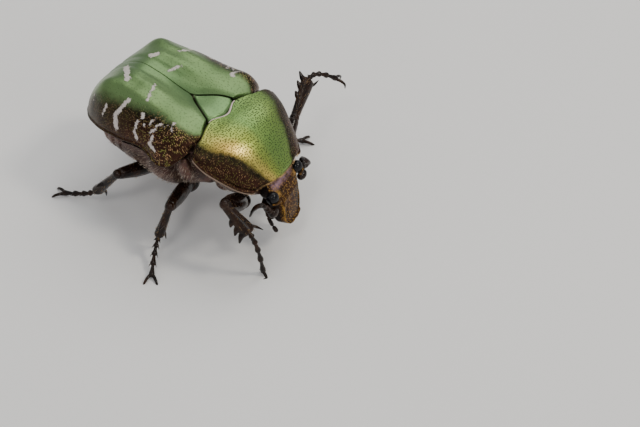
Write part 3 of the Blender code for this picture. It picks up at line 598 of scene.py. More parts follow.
def make_pygidium(finish):
    """The blunt dome that closes the abdomen under the tips of the wing covers."""
    t = np.sin(np.pi / 2 * np.linspace(0, 0.995, 60))[:, None]
    size = (1 - t**3) ** (1 / 3)
    across, rise = size * np.cos(circle(96)), size * np.sin(circle(96))
    y = PYGIDIUM_ROOT[0] + PYGIDIUM_LENGTH * t + 0.34 * rise - 0.45 * across**2
    skin = np.stack([PYGIDIUM_WIDE * across, y, PYGIDIUM_ROOT[1] + PYGIDIUM_HIGH * rise], -1)
    place_piece("pygidium_plate", closed(skin), finish, ["pygidium"])
    return skin


def trunk_skin(y, crest, inner, ledge, outer, belly):
    """Sections of the trunk: an arch under the plates, a ledge below their edge, and the belly."""
    middle = ledge - LEDGE_DROP
    arch = np.sin(np.linspace(0, 0.5 * np.pi, 12))[None]
    angle = np.linspace(0, 1, 26)[None, :-1] * np.pi / 2
    x = np.concatenate([inner * arch, outer * np.cos(angle) ** 0.95, 0 * y], axis=1)
    low = middle + (belly - middle) * np.sin(angle)
    z = np.concatenate([middle + (crest - middle) * dome(arch, 3), low, belly], axis=1)
    half = np.stack([x, y + 0 * x, z], -1)
    return np.concatenate([half, mirrored(half[:, -2:0:-1])], axis=1)


def make_trunk(finish):
    """Hind thorax, ringed abdomen, prothorax and shoulder wedges. Their skins go back for the hair.

    under and step are how far the arch stays inside the plates' edge and inside the trunk's own side.
    """
    hind = (TRUNK_SIDE, ELYTRON_WIDTH, TRUNK_CREST, ELYTRON_EDGE, BELLY)
    fore = (PROTHORAX_SIDE, PRONOTUM_WIDTH, PROTHORAX_CREST, PRONOTUM_EDGE, PROTHORAX_BELLY)
    skins = {}
    for name, node, (start, end, rows), lines, (under, step) in (
        ("hind_thorax_shell", "hind_thorax", (-2.63, 1.86, 110), hind, (0.95, 0.15)),
        ("abdomen_rings", "abdomen", (1.8, 6.12, 110), hind, (0.95, 0.15)),
        ("prothorax_shell", "prothorax", (-6.75, -2.6, 80), fore, (1.05, 0.1)),
    ):
        y = np.linspace(start, end, rows)[:, None]
        ring = (y - ABDOMEN_SPAN[0]) / (ABDOMEN_SPAN[1] - ABDOMEN_SPAN[0]) * ABDOMEN_RINGS
        groove = GROOVE_DEPTH * fall(0, 0.5, ring - np.floor(ring)) * (ring > 1)
        side, width, crest, ledge, belly = (curve(line, y) for line in lines)
        outer = side - groove
        inner = np.minimum(width - under, outer - step)
        skins[name] = trunk_skin(y, crest, inner, ledge, outer, belly + groove)
        body = closed(skins[name])
        if node == "hind_thorax":
            body = joined(body, closed(ball(BREAST_KNOB, BREAST_KNOB_HALVES)))
        place_piece(name, body, finish, [node])
    for side, sign in SIDES:
        skin = ball(np.multiply(WEDGE_CENTRE, (sign, 1, 1)), WEDGE_HALVES, pole=(0.1 * sign, 0.1, 1))
        place_piece("shoulder_wedge_" + side, closed(skin), finish, ["mesepimeron_" + side])
        skins["wedge_" + side] = skin
    return skins


# Head


def turned(points):
    """Points of a straight head, turned with it about the neck."""
    return (np.asarray(points, float) - NECK) @ HEAD_MATRIX.T + NECK


def head_place(along_head, across, above):
    """Points by their way along the head's axis, their distance to the side and their height above it."""
    across = across - 0.3 * ease(0.8, 3.2, along_head)
    along = unit(HEAD_TIP - HEAD_ROOT)
    upper = np.cross(along, (1, 0, 0))
    along_head, across, above = (v[..., None] for v in np.broadcast_arrays(along_head, across, above))
    return turned(HEAD_ROOT + along * along_head + np.array((1, 0, 0)) * across + upper * above)


def make_head(finish):
    """The head, with a raised rim round the clypeus, a low dome on the face and a notch in its front."""
    place = HEAD_START + (HEAD_END - HEAD_START) * spread(90)[:, None]
    turn = np.linspace(0, 1, 41)[None]
    across, height = curve(HEAD_ACROSS, turn), curve(HEAD_HEIGHT, turn)
    height = height + (curve(CLYPEUS_HEIGHT, turn) - height) * ease(0.7, 1.5, place)
    lift = np.where(height > 0, height * curve(HEAD_ABOVE, place), height * curve(HEAD_BELOW, place))
    lift *= 1 - 0.5 * ease(HEAD_END - 0.14, HEAD_END, place) ** 2
    lift += 0.09 * ease(1.2, 2, place) * bell(turn, 0.37, 0.035)
    lift += 0.12 * ease(2.95, 3.25, place) * fall(3.3, HEAD_END, place) * fall(0.34, 0.45, turn)
    lift -= 0.07 * ease(1.3, 2.2, place) * fall(2.9, 3.15, place) * bell(turn, 0.29, 0.05)
    lift += 0.05 * bell(place, 1.25, 0.2) * fall(0.25, 0.4, turn)
    notched = place - ease(2.6, HEAD_END, place) * (0.06 * bell(turn, 0, 0.06) + 0.26 * across**3)
    half = across * curve(HEAD_HALF, place) * (1 - 0.1 * ease(HEAD_END - 0.25, HEAD_END, place) ** 2)
    side, other = head_place(notched, half, lift), head_place(notched, -half, lift)
    skin = np.concatenate([side, other[:, -2:0:-1]], axis=1)

    def fold(values, other_side=1):
        """Values on both sides of the head and at the two points that close its ends."""
        values = values + 0 * lift
        return np.append(np.concatenate([values, other_side * values[:, -2:0:-1]], axis=1), (0, 0))

    margin = ease(1.2, 1.7, place) * bell(turn, 0.375, 0.018)
    facts = {
        # where the painted purple reflection lies
        "crown": fold(fall(0.12, 0.5, place) * fall(0.18, 0.36, turn)),
        # painted gold highlight along the raised side rims and the front of the clypeus
        "rim_highlight": fold(np.maximum(margin, ease(3.2, 3.3, place) * fall(0.38, 0.45, turn))),
        "patch": fold(bell(place, 0.56, 0.2) * bell(turn, 0.27, 0.05)),
        "below": fold(ease(0.4, 0.46, turn)),
        "span": fold(from_first_column(side), -1),
        "reach": fold(place),
    }
    place_piece("head_capsule", closed(skin), finish, ["head"], facts)
    return skin


def make_eyes(eye_finish, brow_finish):
    """Two faceted domes, each crossed in front by a thin bar of the cheek."""
    for name, side in SIDES:
        centre = turned(np.multiply(EYE_CENTRE, (side, 1, 1)))
        dome_skin = ball(centre, EYE_HALVES, 40, 56, pole=(side, 0, 0))
        place_piece("eye_dome_" + name, closed(dome_skin), eye_finish, ["eye_" + name])
        path = centre + (np.array(EYE_BAR) * (side, 1, 1)) @ HEAD_MATRIX.T
        points, faces = rod(path, (0.12, 0.09, 0.07, 0.04), (0.08, 0.06, 0.05, 0.04), sides=14)
        # A faint painted gold highlight on the bar
        facts = {"rim_highlight": 0.15 + 0 * points[:, 0], "span": points[:, 2], "reach": points[:, 1]}
        place_piece("eye_bar_" + name, (points, faces), brow_finish, [], facts)


def feeler_place(side, points):
    """Points that are set out for the left feeler, on either side of the turned head."""
    return turned((np.array(points) + FEELER_SHIFT) * (side, 1, 1))


def make_antennae(finish):
    """A bent feeler on each side: a stout first joint, a beaded stem and a club of three leaves."""
    for name, side, club, up in (
        ("left", 1, CLUB_LEFT, (0, 1, 0)), ("right", -1, CLUB_RIGHT, (-0.58, -0.41, 0.69)),
    ):
        bodies = [rod(feeler_place(side, FEELER_ROOT), (0.2, 0.3, 0.25))]
        stem = feeler_place(side, FEELER_STEM)
        for start, end in zip(stem, stem[1:]):
            bead = [start, (start + end) / 2, end + (end - start) * 0.2]
            bodies.append(rod(bead, (0.12, 0.2, 0.2), rings=12))
        for leaf in (-1, 0, 1):
            middle = [(x + fan * leaf, y, z - 0.2 * fan * leaf) for x, y, z, fan in club]
            path = feeler_place(side, middle)
            bodies.append(rod(path, (0.11, 0.12, 0.12, 0.07), (0.18, 0.34, 0.36, 0.18), up, 36, 24))
        place_piece("feeler_" + name, joined(*bodies), finish, ["antenna_" + name])


def make_mouth(finish):
    """The upper lip, with a pair of jaws and of three-jointed palps beside it."""
    first, last = LIP[0][0], LIP[-1][0]
    at = first + (last - first) * spread(30)[:, None]
    half, above, depth = (curve([(row[0], row[k]) for row in LIP], at) for k in (1, 2, 3))
    blunt = np.sqrt(np.clip(1 - (2 * (at - first) / (last - first) - 1) ** 8, 0.02, 1))
    turn = circle(36)
    bodies = [closed(head_place(at, half * blunt * np.cos(turn), above + depth * blunt * np.sin(turn)))]
    for side in (1, -1):
        palp, jaw = (head_place(*(np.array(line) * (1, side, 1)).T) for line in (PALP, JAW))
        for start, end, size in zip(palp, palp[1:], (0.12, 0.13, 0.15)):
            path = [start, (start + end) / 2, end]
            bodies.append(rod(path, (size * 0.7, size, size * 0.9), rings=16))
        bodies.append(rod(jaw, (0.22, 0.2, 0.06), (0.14, 0.12, 0.05)))
    place_piece("mouth_and_palps", joined(*bodies), finish, ["mouthparts"])


# Legs


def leg_points(leg):
    """Hip, knee, ankle and foot of a leg, and whether the leg stands on the floor."""
    standing = LEGS[leg][3][2] is None
    points = [(x, y, floor_height(y) + FOOT_RISE if z is None else z) for x, y, z in LEGS[leg]]
    return *np.array(points), standing


def shin_face(leg, hip, knee, ankle):
    """The way the flat of a shin faces. The digging fore shins turn theirs up and outwards."""
    if not leg.startswith("foreleg"):
        return unit(np.cross(knee - hip, ankle - knee))
    along = unit(ankle - knee)
    face = np.array((math.copysign(0.58, knee[0]), -0.42, 0.7))
    return unit(face - along * face.dot(along))


def segment_skin(start, end, places, halves, face):
    across, within = halves
    return limb([start + (end - start) * t for t in places], within, across, face, 48, 32)


def shin_body(kind, skin, hip, knee, ankle, face):
    """A shin with its knee, its teeth on the outer edge and its spurs at the end."""
    along = unit(ankle - knee)
    outward = unit(np.cross(along, face))
    outward = outward * (1 if outward.dot(knee - hip) >= 0 else -1)
    bodies = [closed(skin), closed(ball(knee, [KNEE_RADIUS] * 3))]
    for place, height in SHIN_TEETH[kind]:
        edge = np.interp(place, (0, 0.2, 0.5, 0.8, 1), SHIN_HALVES[kind][1])
        root = knee + (ankle - knee) * place - along * 0.12
        tip = root + outward * (edge + height) + along * height * 0.7
        tooth = [root, root + outward * edge * 0.9, tip]
        bodies.append(rod(tooth, (0.3, 0.22, 0.05), (0.22, 0.17, 0.05), face, 16, 16))
    for turn in SPUR_TURNS[kind]:
        root = ankle - along * 0.5 - outward * 0.3 + face * 0.1 * turn
        tip = ankle + along * 0.38 - outward * 0.8 + face * 0.4 * turn
        spur = [root, (root + tip) / 2 - outward * 0.05, tip]
        bodies.append(rod(spur, (0.1, 0.09, 0.02), rings=16, sides=12, up=face))
    return joined(*bodies)


def foot_body(knee, ankle, foot, standing):
    """Five flared beads along the foot, with short spines, and two curved claws."""
    shin = unit(ankle - knee)
    bend = ankle + shin * 0.8
    if standing:
        bend[2] = max(bend[2], foot[2] + 0.1)
    t = np.linspace(0, 1, 6)[:, None]
    line = (ankle - shin * 0.1) * (1 - t) ** 2 + bend * 2 * t * (1 - t) + foot * t**2
    bodies = []
    for start, end, size in zip(line, line[1:], FOOT_BEADS):
        along = end - start
        path = [start - along * 0.1, start + along * 0.35, start + along * 0.8, end + along * 0.05]
        bodies.append(rod(path, (0.09, 0.13, size, size * 0.75), rings=20, sides=18))
        side = unit(np.cross(along, (0, 0, 1)))
        for turn in (-1, 1):
            root = start + along * 0.78 + side * turn * size * 0.6
            spine = [root, root + along * 0.2 + side * turn * 0.09, root + along * 0.42 + side * turn * 0.12]
            bodies.append(rod(spine, (0.035, 0.03, 0.008), rings=8, sides=6, up=(0.1, 0.2, 1)))
    along = unit(line[-1] - line[-2])
    side = unit(np.cross(along, (0, 0, 1)))
    down = np.cross(along, side)
    down = down * (1 if down[2] < 0 else -1)
    for turn in (-1, 1):
        root = line[-1] - along * 0.15 + side * 0.07 * turn
        hook = [root + along * ahead + side * aside * turn + down * below for ahead, aside, below in CLAW]
        claw = [root, *hook]
        bodies.append(rod(claw, (0.12, 0.1, 0.075, 0.02), rings=28, sides=12))
    return joined(*bodies)


def make_legs(finish):
    """Thigh, shin and foot of each leg. Gives the hair's thighs and shins: skin, count, lie and longest."""
    segments = []
    for leg in LEGS:
        kind = leg.split("_")[0]
        hip, knee, ankle, foot, standing = leg_points(leg)
        face = shin_face(leg, hip, knee, ankle)
        thigh = segment_skin(hip, knee, THIGH_PLACES, THIGH_HALVES[kind], np.cross(knee - hip, ankle - knee))
        shin = segment_skin(knee, ankle, SHIN_PLACES, SHIN_HALVES[kind], face)
        radius = HIP_RADIUS[kind]
        hip_lump = closed(ball(hip, (radius, radius * 0.95, radius), pole=knee - hip))
        for piece, node, body in (
            ("_thigh", "_femur", joined(closed(thigh), hip_lump)),
            ("_shin", "_tibia", shin_body(kind, shin, hip, knee, ankle, face)),
            ("_foot", "_tarsus", foot_body(knee, ankle, foot, standing)),
        ):
            on_floor = standing and piece == "_foot"
            place_piece(leg + piece, body, finish, [leg + node], on_floor=on_floor)
        segments += [(thigh, 70, knee - hip, 0.3), (shin, 90, (ankle - knee) - unit(knee - hip) * 0.6, 0.34)]
    return segments


# Hair: closed slim tufts of three sides

TUFT_FACES = np.array((
    (0, 1, 4), (0, 4, 3), (1, 2, 5), (1, 5, 4), (2, 0, 3), (2, 3, 5),
    (3, 4, 6), (4, 5, 6), (5, 3, 6), (2, 1, 0),
))
TUFT_PATCH = np.array(((0, 0), (1, 0), (0.5, 1), (0.2, 0.4), (0.8, 0.4), (0.5, 0.8), (0.5, 0.5))) * 0.003
TUFT_BOW, TUFT_DROOP = 0.075, 0.1


def scatter(skin, count, weight=1, ring=True):
    """Random spots on a skin: places, facings and their row and column as fractions."""
    rows, columns = skin.shape[:2]
    area = np.linalg.norm(np.cross(np.gradient(skin, axis=0), np.gradient(skin, axis=1)), axis=-1)
    chance = (area * np.maximum(weight, 0))[:-1, :-1].reshape(-1)
    picks = RANDOM.choice(len(chance), count, p=chance / chance.sum())
    row, column = np.divmod(picks, columns - 1)
    a, b = RANDOM.random((2, count, 1))

    def read(values):
        """Values at the spots, from the four points round each."""
        near = values[row, column] * (1 - b) + values[row, column + 1] * b
        return near * (1 - a) + (values[row + 1, column] * (1 - b) + values[row + 1, column + 1] * b) * a

    spots = np.column_stack([(row + a[:, 0]) / rows, (column + b[:, 0]) / columns])
    return read(skin), unit(read(facing(skin, ring))), spots


def make_tufts(name, groups, finish, rise):
    """Hair from groups of (scattered spots, lie, lengths, width). lie is the way the tips point."""
    all_points, all_patches = [], []
    for (roots, normal, spots), lie, (short, long), width in groups:
        count = len(roots)
        lie = np.asarray(lie, float) + RANDOM.normal(0, 0.25, (count, 3))
        lie = unit(lie - normal * (lie * normal).sum(axis=1, keepdims=True))
        along = unit(lie + normal * rise)
        length = RANDOM.uniform(short, long, (count, 1))
        side = unit(np.cross(along, normal))
        lift = np.cross(side, along)
        middle = roots + along * length * 0.5 + normal * length * TUFT_BOW
        tip = roots + along * length - normal * length * TUFT_DROOP
        rings = []
        for centre, size in ((roots - normal * 0.03, width), (middle, width * 0.75)):
            for turn in (0, 2.094, 4.189):
                rings.append(centre + side * size * math.cos(turn) + lift * size * math.sin(turn))
        all_points.append(np.stack(rings + [tip], 1))
        all_patches.append(spots)
    points = np.concatenate(all_points)
    faces = (TUFT_FACES[None] + 7 * np.arange(len(points))[:, None, None]).reshape(-1, 3)
    data = bpy.data.meshes.new(name)
    data.from_pydata(stand(points.reshape(-1, 3)).tolist(), [], faces.tolist())
    patches = np.concatenate(all_patches)
    place = 0.01 + patches[:, None, ::-1] * 0.97 + TUFT_PATCH[None]
    layer = data.uv_layers.new(name="OFBake")
    layer.data.foreach_set("uv", place.reshape(-1, 2)[faces.reshape(-1)].astype(np.float32).reshape(-1))
    data.shade_smooth()
    data.validate()
    add_piece(name, data, finish)


def make_hair(golden, pale, trunk, legs, head, pronotum, pygidium):
    """All hair. The order of the calls fixes the random draws."""
    fringe = pronotum[:3]
    weight = 0.3 + (np.abs(fringe[..., 0]) < 2.2)
    group = (scatter(fringe, 300, weight, ring=False), (0, -0.6, -1), (0.1, 0.2), 0.009)
    make_tufts("collar_fringe", [group], golden, 0.5)
    rows = np.linspace(0, 1, len(head))[:, None] + 0 * head[..., 0]
    turn = np.minimum(np.arange(80), 80 - np.arange(80))[None] / 40
    face = fall(0.4, 0.5, turn) * (0.25 + bell(rows, 0.3, 0.12) + 0.7 * bell(turn, 0.36, 0.1))
    group = (scatter(head, 420, face), (0.1, 0.2, -1), (0.06, 0.14), 0.007)
    make_tufts("face_down", [group], golden, 0.35)
    groups = []
    for name, count, lie, lengths in (
        ("hind_thorax_shell", 1000, (0, 0.8, -0.5), (0.22, 0.45)),
        ("prothorax_shell", 800, (0, 0.4, -1), (0.25, 0.5)),
        ("abdomen_rings", 500, (0, 1, -0.3), (0.12, 0.3)),
    ):
        skin = trunk[name]
        low = (skin[..., 2] < -2.6) * (0.15 + (np.abs(skin[..., 0]) > 1.8))
        groups.append((scatter(skin, count, low), lie, lengths, 0.0065))
    for side, _ in SIDES:
        groups.append((scatter(trunk["wedge_" + side], 110), (0, 0.2, -1), (0.2, 0.4), 0.009))
    make_tufts("underside_hair", groups, pale, 0.55)
    groups = [(scatter(skin, count), lie, (0.14, longest), 0.007) for skin, count, lie, longest in legs]
    make_tufts("leg_hair", groups, golden, 0.5)
    tail = ease(6.2, 6.5, pygidium[..., 1])
    group = (scatter(pygidium, 260, tail), (0, 0.6, -1), (0.1, 0.2), 0.008)
    make_tufts("tail_hair", [group], pale, 0.3)


# Finishes


def maths(operation, swapped=False):
    """Makes an operator of Value."""
    def work(self, other):
        first, second = (other, self) if swapped else (self, other)
        return self.finish.node("Math", {"operation": operation}, {0: first, 1: second})

    return work


class Value:
    """One socket of a shader, with arithmetic that adds Math nodes."""

    def __init__(self, finish, socket):
        self.finish, self.socket = finish, socket

    __add__ = __radd__ = maths("ADD")
    __mul__ = __rmul__ = maths("MULTIPLY")
    __sub__, __rsub__ = maths("SUBTRACT"), maths("SUBTRACT", swapped=True)
    most = maths("MAXIMUM")


class Finish:
    """A material round one shader, built node by node."""

    def __init__(self, name, **constants):
        self.material = bpy.data.materials.new(name)
        self.material.use_nodes = True
        self.tree = self.material.node_tree
        self.shader = self.tree.nodes["Principled BSDF"]
        self.wear(**constants)
        self.place = self.node("TexCoord", {}, {}, "Object")

    def node(self, kind, settings, sockets, output=0):
        node = self.tree.nodes.new("ShaderNode" + kind)
        for name, value in settings.items():
            setattr(node, name, value)
        for socket, value in sockets.items():
            self.feed(node.inputs[socket], value)
        return Value(self, node.outputs[output])

    def feed(self, socket, value):
        if isinstance(value, Value):
            self.tree.links.new(value.socket, socket)
        else:
            socket.default_value = (*value, 1) if socket.type == "RGBA" else value

    def wear(self, **sockets):
        """Values or links for the shader's own sockets."""
        for name, value in sockets.items():
            self.feed(self.shader.inputs[name.replace("_", " ")], value)
        return self.material

    def fact(self, name):
        return self.node("Attribute", {"attribute_name": name}, {}, "Fac")

    def mix(self, factor, first, second):
        return self.node("Mix", {"data_type": "RGBA"}, {0: factor, 6: first, 7: second}, 2)

    def step(self, value, low, high):
        """0 below low and 1 above high, with a soft rise between."""
        settings = {"interpolation_type": "SMOOTHSTEP"}
        return self.node("MapRange", settings, {"Value": value, "From Min": low, "From Max": high})

    def noise(self, scale, detail=2, stretch=None):
        place = self.place
        if stretch:
            place = self.node("VectorMath", {"operation": "MULTIPLY"}, {0: place, 1: stretch})
        sockets = {"Vector": place, "Scale": scale, "Detail": detail, "Roughness": 0.55}
        return self.node("TexNoise", {}, sockets, "Fac")

    def cells(self, place, scale, output="Distance", randomness=1, **settings):
        sockets = {"Vector": place, "Scale": scale, "Randomness": randomness}
        return self.node("TexVoronoi", settings, sockets, output)

    def pits(self, scale, small, large):
        """1 in small round pits and 0 between them."""
        return self.step(self.cells(self.place, scale), large, small)

    def surface_pits(self, per_mm, size, uneven=False):
        """Pits set out over the skin itself, at a number to the millimetre."""
        spot = self.node("CombineXYZ", {}, {"X": self.fact("span"), "Y": self.fact("reach")})
        flat = {"randomness": 0.75, "voronoi_dimensions": "2D"}
        pits = self.step(self.cells(spot, per_mm, **flat), size * 1.25, size * 0.7)
        if uneven:
            pits = pits * self.step(self.cells(spot, per_mm, "Color", **flat), 0.3, 0.8)
        return pits

    def bump(self, height, depth, strength=1):
        return self.node("Bump", {}, {"Height": height, "Distance": depth, "Strength": strength}, "Normal")


def green_shell(name, leaf, pits_per_mm, pit_size, pit_shade, pit_depth):
    """Satin metallic green that turns through a painted gold highlight to dark bronze under a painted dark
    reflection on the flanks, finely pitted with painted shade in the pits.
    """
    f = Finish(name, Coat_Roughness=0.2, IOR=1.5)
    flank, rim, shoulder, marks, gold_highlight = (f.fact(n) for n in ("flank", "rim", "shoulder", "marks", "gold_highlight"))
    cloud, grain = f.noise(350, 3), f.noise(9000, 3)
    wavy_flank = flank + ((cloud - 0.5) * 0.16 + (f.noise(2600, 3) - 0.5) * 0.1)
    # Mask of the flank's painted dark reflection, over a partly real bronze
    dark = f.step(wavy_flank, -0.07, 0.12)

    # From green through a painted gold highlight to bronze darkened as a painted dark reflection, and brown
    # at the rim with painted shade along the seams
    green = f.mix(f.step(cloud, 0.3, 0.7), *leaf)
    # Painted gold highlight: yellow-green, then gold next to the dark flank
    with_gold_highlight = f.mix(f.step(wavy_flank, -0.8, -0.35) * gold_highlight, green, (0.34, 0.4, 0.07))
    with_gold_highlight = f.mix(f.step(wavy_flank, -0.38, -0.06) * gold_highlight * gold_highlight, with_gold_highlight, (0.8, 0.53, 0.13))
    # Bronze of the flank, kept dark as a painted dark reflection
    bronze = f.mix(f.step(f.noise(900, 4), 0.35, 0.7), (0.014, 0.012, 0.006), (0.046, 0.031, 0.014))
    colour = f.mix(dark, with_gold_highlight, bronze)
    # Painted shade in the pits, fainter near the middle line and on the dark flank
    fine = f.surface_pits(pits_per_mm, pit_size) * (0.5 + 0.5 * f.step(flank, -0.72, -0.45))
    colour = f.mix(fine * pit_shade * (1 - dark * 0.5), colour, (0.02, 0.03, 0.012))
    colour = f.mix(f.step(flank, 0.08, 0.3) * 0.85, colour, (0.042, 0.014, 0.009))

    # Painted golden glints in the dark flank, densest on the shoulder
    painted_glints = f.surface_pits(8.5, 0.3, True) * dark
    painted_glint_tint = f.mix(f.step(f.noise(2500), 0.35, 0.65), (0.32, 0.34, 0.08), (0.66, 0.38, 0.19))
    colour = f.mix(painted_glints * (0.22 + 0.75 * shoulder), colour, painted_glint_tint)
    # Brown at the rim, with painted shade along the seams
    colour = f.mix(f.step(rim, 0.4, 0.85) * 0.85, colour, (0.05, 0.032, 0.02))

    # Pale marks of ragged scales
    ragged = (f.noise(3500) - 0.5) * 0.42 + (f.noise(16000) - 0.5) * 0.22
    chalk = f.step(marks + ragged, 0.02, -0.05) * 0.9
    colour = f.mix(chalk, colour, f.mix(f.noise(12000), (0.42, 0.35, 0.32), (0.92, 0.84, 0.8)))

    height = grain * 0.25 - fine * pit_depth + chalk * (0.6 + 0.8 * f.noise(14000, 1)) + painted_glints * 0.5
    return f.wear(
        Base_Color=colour, Metallic=(1 - chalk) * 0.9, Coat_Weight=(1 - dark) * (1 - chalk) * 0.14,
        Roughness=(0.3 + 0.12 * grain).most(chalk * 0.75), Normal=f.bump(height, 0.00002),
    )


def bronze_shell(name, dark, light):
    """Dark coppery bronze with shallow pits and faint cross wrinkles."""
    f = Finish(name, Coat_Weight=0.1, Coat_Roughness=0.2)
    cloud, pits = f.noise(700, 4), f.pits(6000, 0.2, 0.4)
    wrinkle = f.noise(2500, 3, stretch=(0.5, 1.6, 0.5))
    colour = f.mix(f.step(cloud, 0.3, 0.7), dark, light)
    return f.wear(
        Base_Color=f.mix(pits * 0.5, colour, (0.13, 0.08, 0.03)), Metallic=0.6 + 0.2 * cloud,
        Roughness=0.28 + 0.22 * wrinkle, Normal=f.bump(wrinkle * 0.8 - pits, 0.000025),
    )


def head_bronze(name):
    """Dark bronze face crowded with golden pits, with a painted purple reflection on the crown and a painted
    gold highlight along the raised margins.
    """
    f = Finish(name, Coat_Roughness=0.2)
    crown, rim_highlight, patch, below = (f.fact(n) for n in ("crown", "rim_highlight", "patch", "below"))
    cloud, mottle, pits = f.noise(900, 4), f.noise(3500, 3), f.surface_pits(8, 0.27, True)
    base = f.mix(f.step(cloud, 0.3, 0.7), (0.012, 0.005, 0.002), (0.05, 0.018, 0.005))
    # Painted purple reflection on the crown, broken up by the mottle
    base = f.mix(crown * f.step(mottle, 0.25, 0.6), base, (0.33, 0.2, 0.25))
    speckle = f.mix(f.step(mottle, 0.35, 0.65), (0.58, 0.33, 0.035), (0.78, 0.36, 0.06))
    base = f.mix(pits * (1 - below) * (0.8 - 0.4 * crown), base, speckle)
    # Painted gold highlight on the raised rims, with the golden patch behind the eye
    rim_highlight_and_patch = rim_highlight * (0.2 + 0.6 * f.step(mottle, 0.4, 0.6))
    base = f.mix(rim_highlight_and_patch.most(patch * 1.3 * f.step(mottle, 0.3, 0.55)), base, (0.55, 0.3, 0.07))
    return f.wear(
        Base_Color=f.mix(below * 0.9, base, (0.008, 0.004, 0.003)), Metallic=0.75 + 0.1 * cloud,
        Roughness=0.34 + 0.16 * cloud, Coat_Weight=crown * 0.2,
        Normal=f.bump(f.noise(12000) * 0.4 - pits * 0.8, 0.00003),
    )


def black_gloss(name):
    """Near-black horn with a deep gloss, fine pits and a brown glow."""
    f = Finish(name, Coat_Weight=0.2, Coat_Roughness=0.05, Specular_IOR_Level=0.15)
    cloud, pits = f.noise(1200, 3), f.pits(5200, 0.18, 0.32)
    colour = f.mix(f.step(cloud, 0.35, 0.75), (0.005, 0.002, 0.0012), (0.03, 0.011, 0.004))
    return f.wear(
        Base_Color=f.mix(pits * 0.5, colour, (0.05, 0.03, 0.015)), Roughness=0.16 + 0.2 * cloud + 0.2 * pits,
        Metallic=0.1 * cloud, Normal=f.bump(f.noise(5000, 3) * 0.5 - pits, 0.00002),
    )


def eye_gloss(name):
    """A black eye of tiny facets under a clear gloss."""
    f = Finish(name, Coat_Weight=0.5, Coat_Roughness=0.03, Specular_IOR_Level=0)
    edge = f.step(f.cells(f.place, 26000, feature="DISTANCE_TO_EDGE"), 0, 0.12)
    colour = f.mix(f.step(f.noise(2500), 0.3, 0.7), (0.0015, 0.002, 0.004), (0.006, 0.006, 0.007))
    return f.wear(
        Base_Color=f.mix(edge, (0.008, 0.007, 0.008), colour), Roughness=0.3 - 0.1 * edge,
        Normal=f.bump(edge, 0.000003),
    )


def hair_finish(name, dark, light):
    f = Finish(name, Sheen_Weight=0.1)
    tone = f.noise(3500)
    return f.wear(Base_Color=f.mix(f.step(tone, 0.3, 0.7), dark, light), Roughness=0.4 + 0.2 * tone)


def bead_finish(name, dark, light):
    f = Finish(name, Coat_Weight=0.3)
    tone = f.noise(1600, 3)
    return f.wear(Base_Color=f.mix(tone, dark, light), Roughness=0.25 + 0.2 * tone, Metallic=0.3 + 0.3 * tone)


def floor_finish(name):
    f = Finish(name)
    tone = f.noise(30, 4)
    return f.wear(
        Base_Color=f.mix(tone, (0.88, 0.865, 0.85), (0.92, 0.905, 0.89)), Roughness=0.7 + 0.1 * tone,
        Normal=f.bump(f.noise(1500, 4), 0.00004, strength=0.4),
    )


# The beetle

WING_LEAF = ((0.115, 0.21, 0.08), (0.158, 0.262, 0.104))
SCUTELLUM_LEAF = ((0.148, 0.27, 0.1), (0.2, 0.335, 0.13))
PRONOTUM_LEAF = ((0.15, 0.28, 0.072), (0.21, 0.355, 0.094))
BRONZE = bronze_shell("dark bronze underside", (0.04, 0.018, 0.014), (0.17, 0.085, 0.066))
HEAD_FINISH = head_bronze("golden pitted bronze")
BLACK = black_gloss("glossy black horn")
GOLDEN_HAIR = hair_finish("golden hair", (0.2, 0.11, 0.04), (0.6, 0.38, 0.15))
PALE_HAIR = hair_finish("pale hair", (0.36, 0.26, 0.18), (0.75, 0.62, 0.5))
PALE_BEAD = bead_finish("pale margin beading", (0.42, 0.3, 0.27), (0.8, 0.68, 0.64))
BROWN_BEAD = bead_finish("brown margin beading", (0.2, 0.12, 0.08), (0.5, 0.36, 0.26))

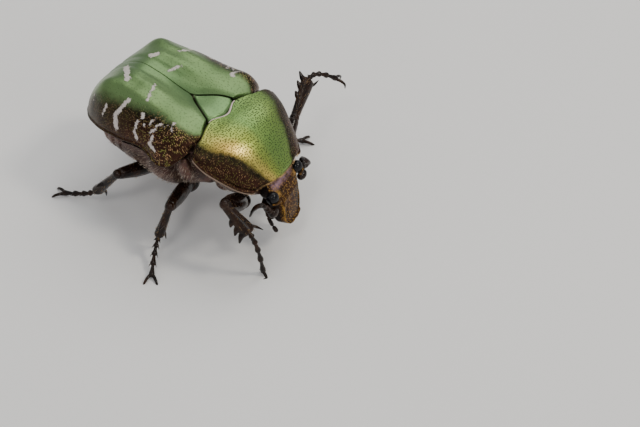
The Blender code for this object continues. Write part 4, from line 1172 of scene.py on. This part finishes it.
# Pits of the green plates: how many to the millimetre, then their size, painted shade and depth
make_wing_covers(green_shell("satin green wing covers", WING_LEAF, 4, 0.14, 0.35, 0.5))
make_scutellum(green_shell("satin green scutellum", SCUTELLUM_LEAF, 4, 0.14, 0.3, 0.5))
pronotum = make_pronotum(green_shell("pitted green pronotum", PRONOTUM_LEAF, 6.1, 0.26, 0.8, 1.5))
make_margin_beads(PALE_BEAD, BROWN_BEAD, pronotum)
pygidium = make_pygidium(BRONZE)
trunk = make_trunk(BRONZE)
head = make_head(HEAD_FINISH)
make_eyes(eye_gloss("faceted black eye"), HEAD_FINISH)
make_antennae(BLACK)
make_mouth(BLACK)
legs = make_legs(BLACK)
make_hair(GOLDEN_HAIR, PALE_HAIR, trunk, legs, head, pronotum, pygidium)


# Studio


def aim(obj, location, target):
    """Sets a light or the camera in its place and points it at the beetle."""
    obj.location = location
    obj.rotation_euler = (Vector(target) - Vector(location)).to_track_quat("-Z", "Y").to_euler()
    bpy.context.scene.collection.objects.link(obj)


def make_floor(finish):
    data = bpy.data.meshes.new("studio_floor")
    data.from_pydata([(-2, -2, 0), (2, -2, 0), (2, 2, 0), (-2, 2, 0)], [], [(0, 1, 2, 3)])
    floor = bpy.data.objects.new("studio_floor", data)
    bpy.context.scene.collection.objects.link(floor)
    data.materials.append(finish)
    floor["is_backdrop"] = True


make_floor(floor_finish("pale studio floor"))
for name, location, aim_height, size, power, colour in (
    ("overhead_softbox", (0.16, 0.04, 0.25), 0.006, 0.22, 0.265, (1, 0.985, 0.95)),
    ("key_light", (0.072, -0.17, 0.24), 0.006, 0.05, 0.225, (1, 0.95, 0.84)),
    ("window_light", (-0.13, -0.05, 0.22), 0.006, 0.05, 0.08, (1, 0.98, 0.95)),
    ("fill_light", (-0.06, -0.22, 0.12), 0.004, 0.06, 0.04, (1, 1, 1)),
):
    light = bpy.data.lights.new(name, "AREA")
    light.size, light.energy, light.color = size, power, colour
    aim(bpy.data.objects.new(name, light), location, (0, 0, aim_height))

world = bpy.data.worlds.new("studio")
world.use_nodes = True
background = world.node_tree.nodes["Background"]
background.inputs["Color"].default_value = (0.8, 0.82, 0.84, 1)
background.inputs["Strength"].default_value = 0.64
bpy.context.scene.world = world

lens = bpy.data.cameras.new("camera")
lens.lens, lens.sensor_width, lens.clip_start = 163.31, 36, 0.001
camera = bpy.data.objects.new("camera", lens)
aim(camera, (-0.109925, -0.090537, 0.12974), (-0.001089, -0.009821, 0.004))
bpy.context.scene.camera = camera

plain = lambda box: [[round(float(c), 6) for c in corner] for corner in box]
{"packed": plain(PACKED_BOX), "dressed": plain(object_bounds())}
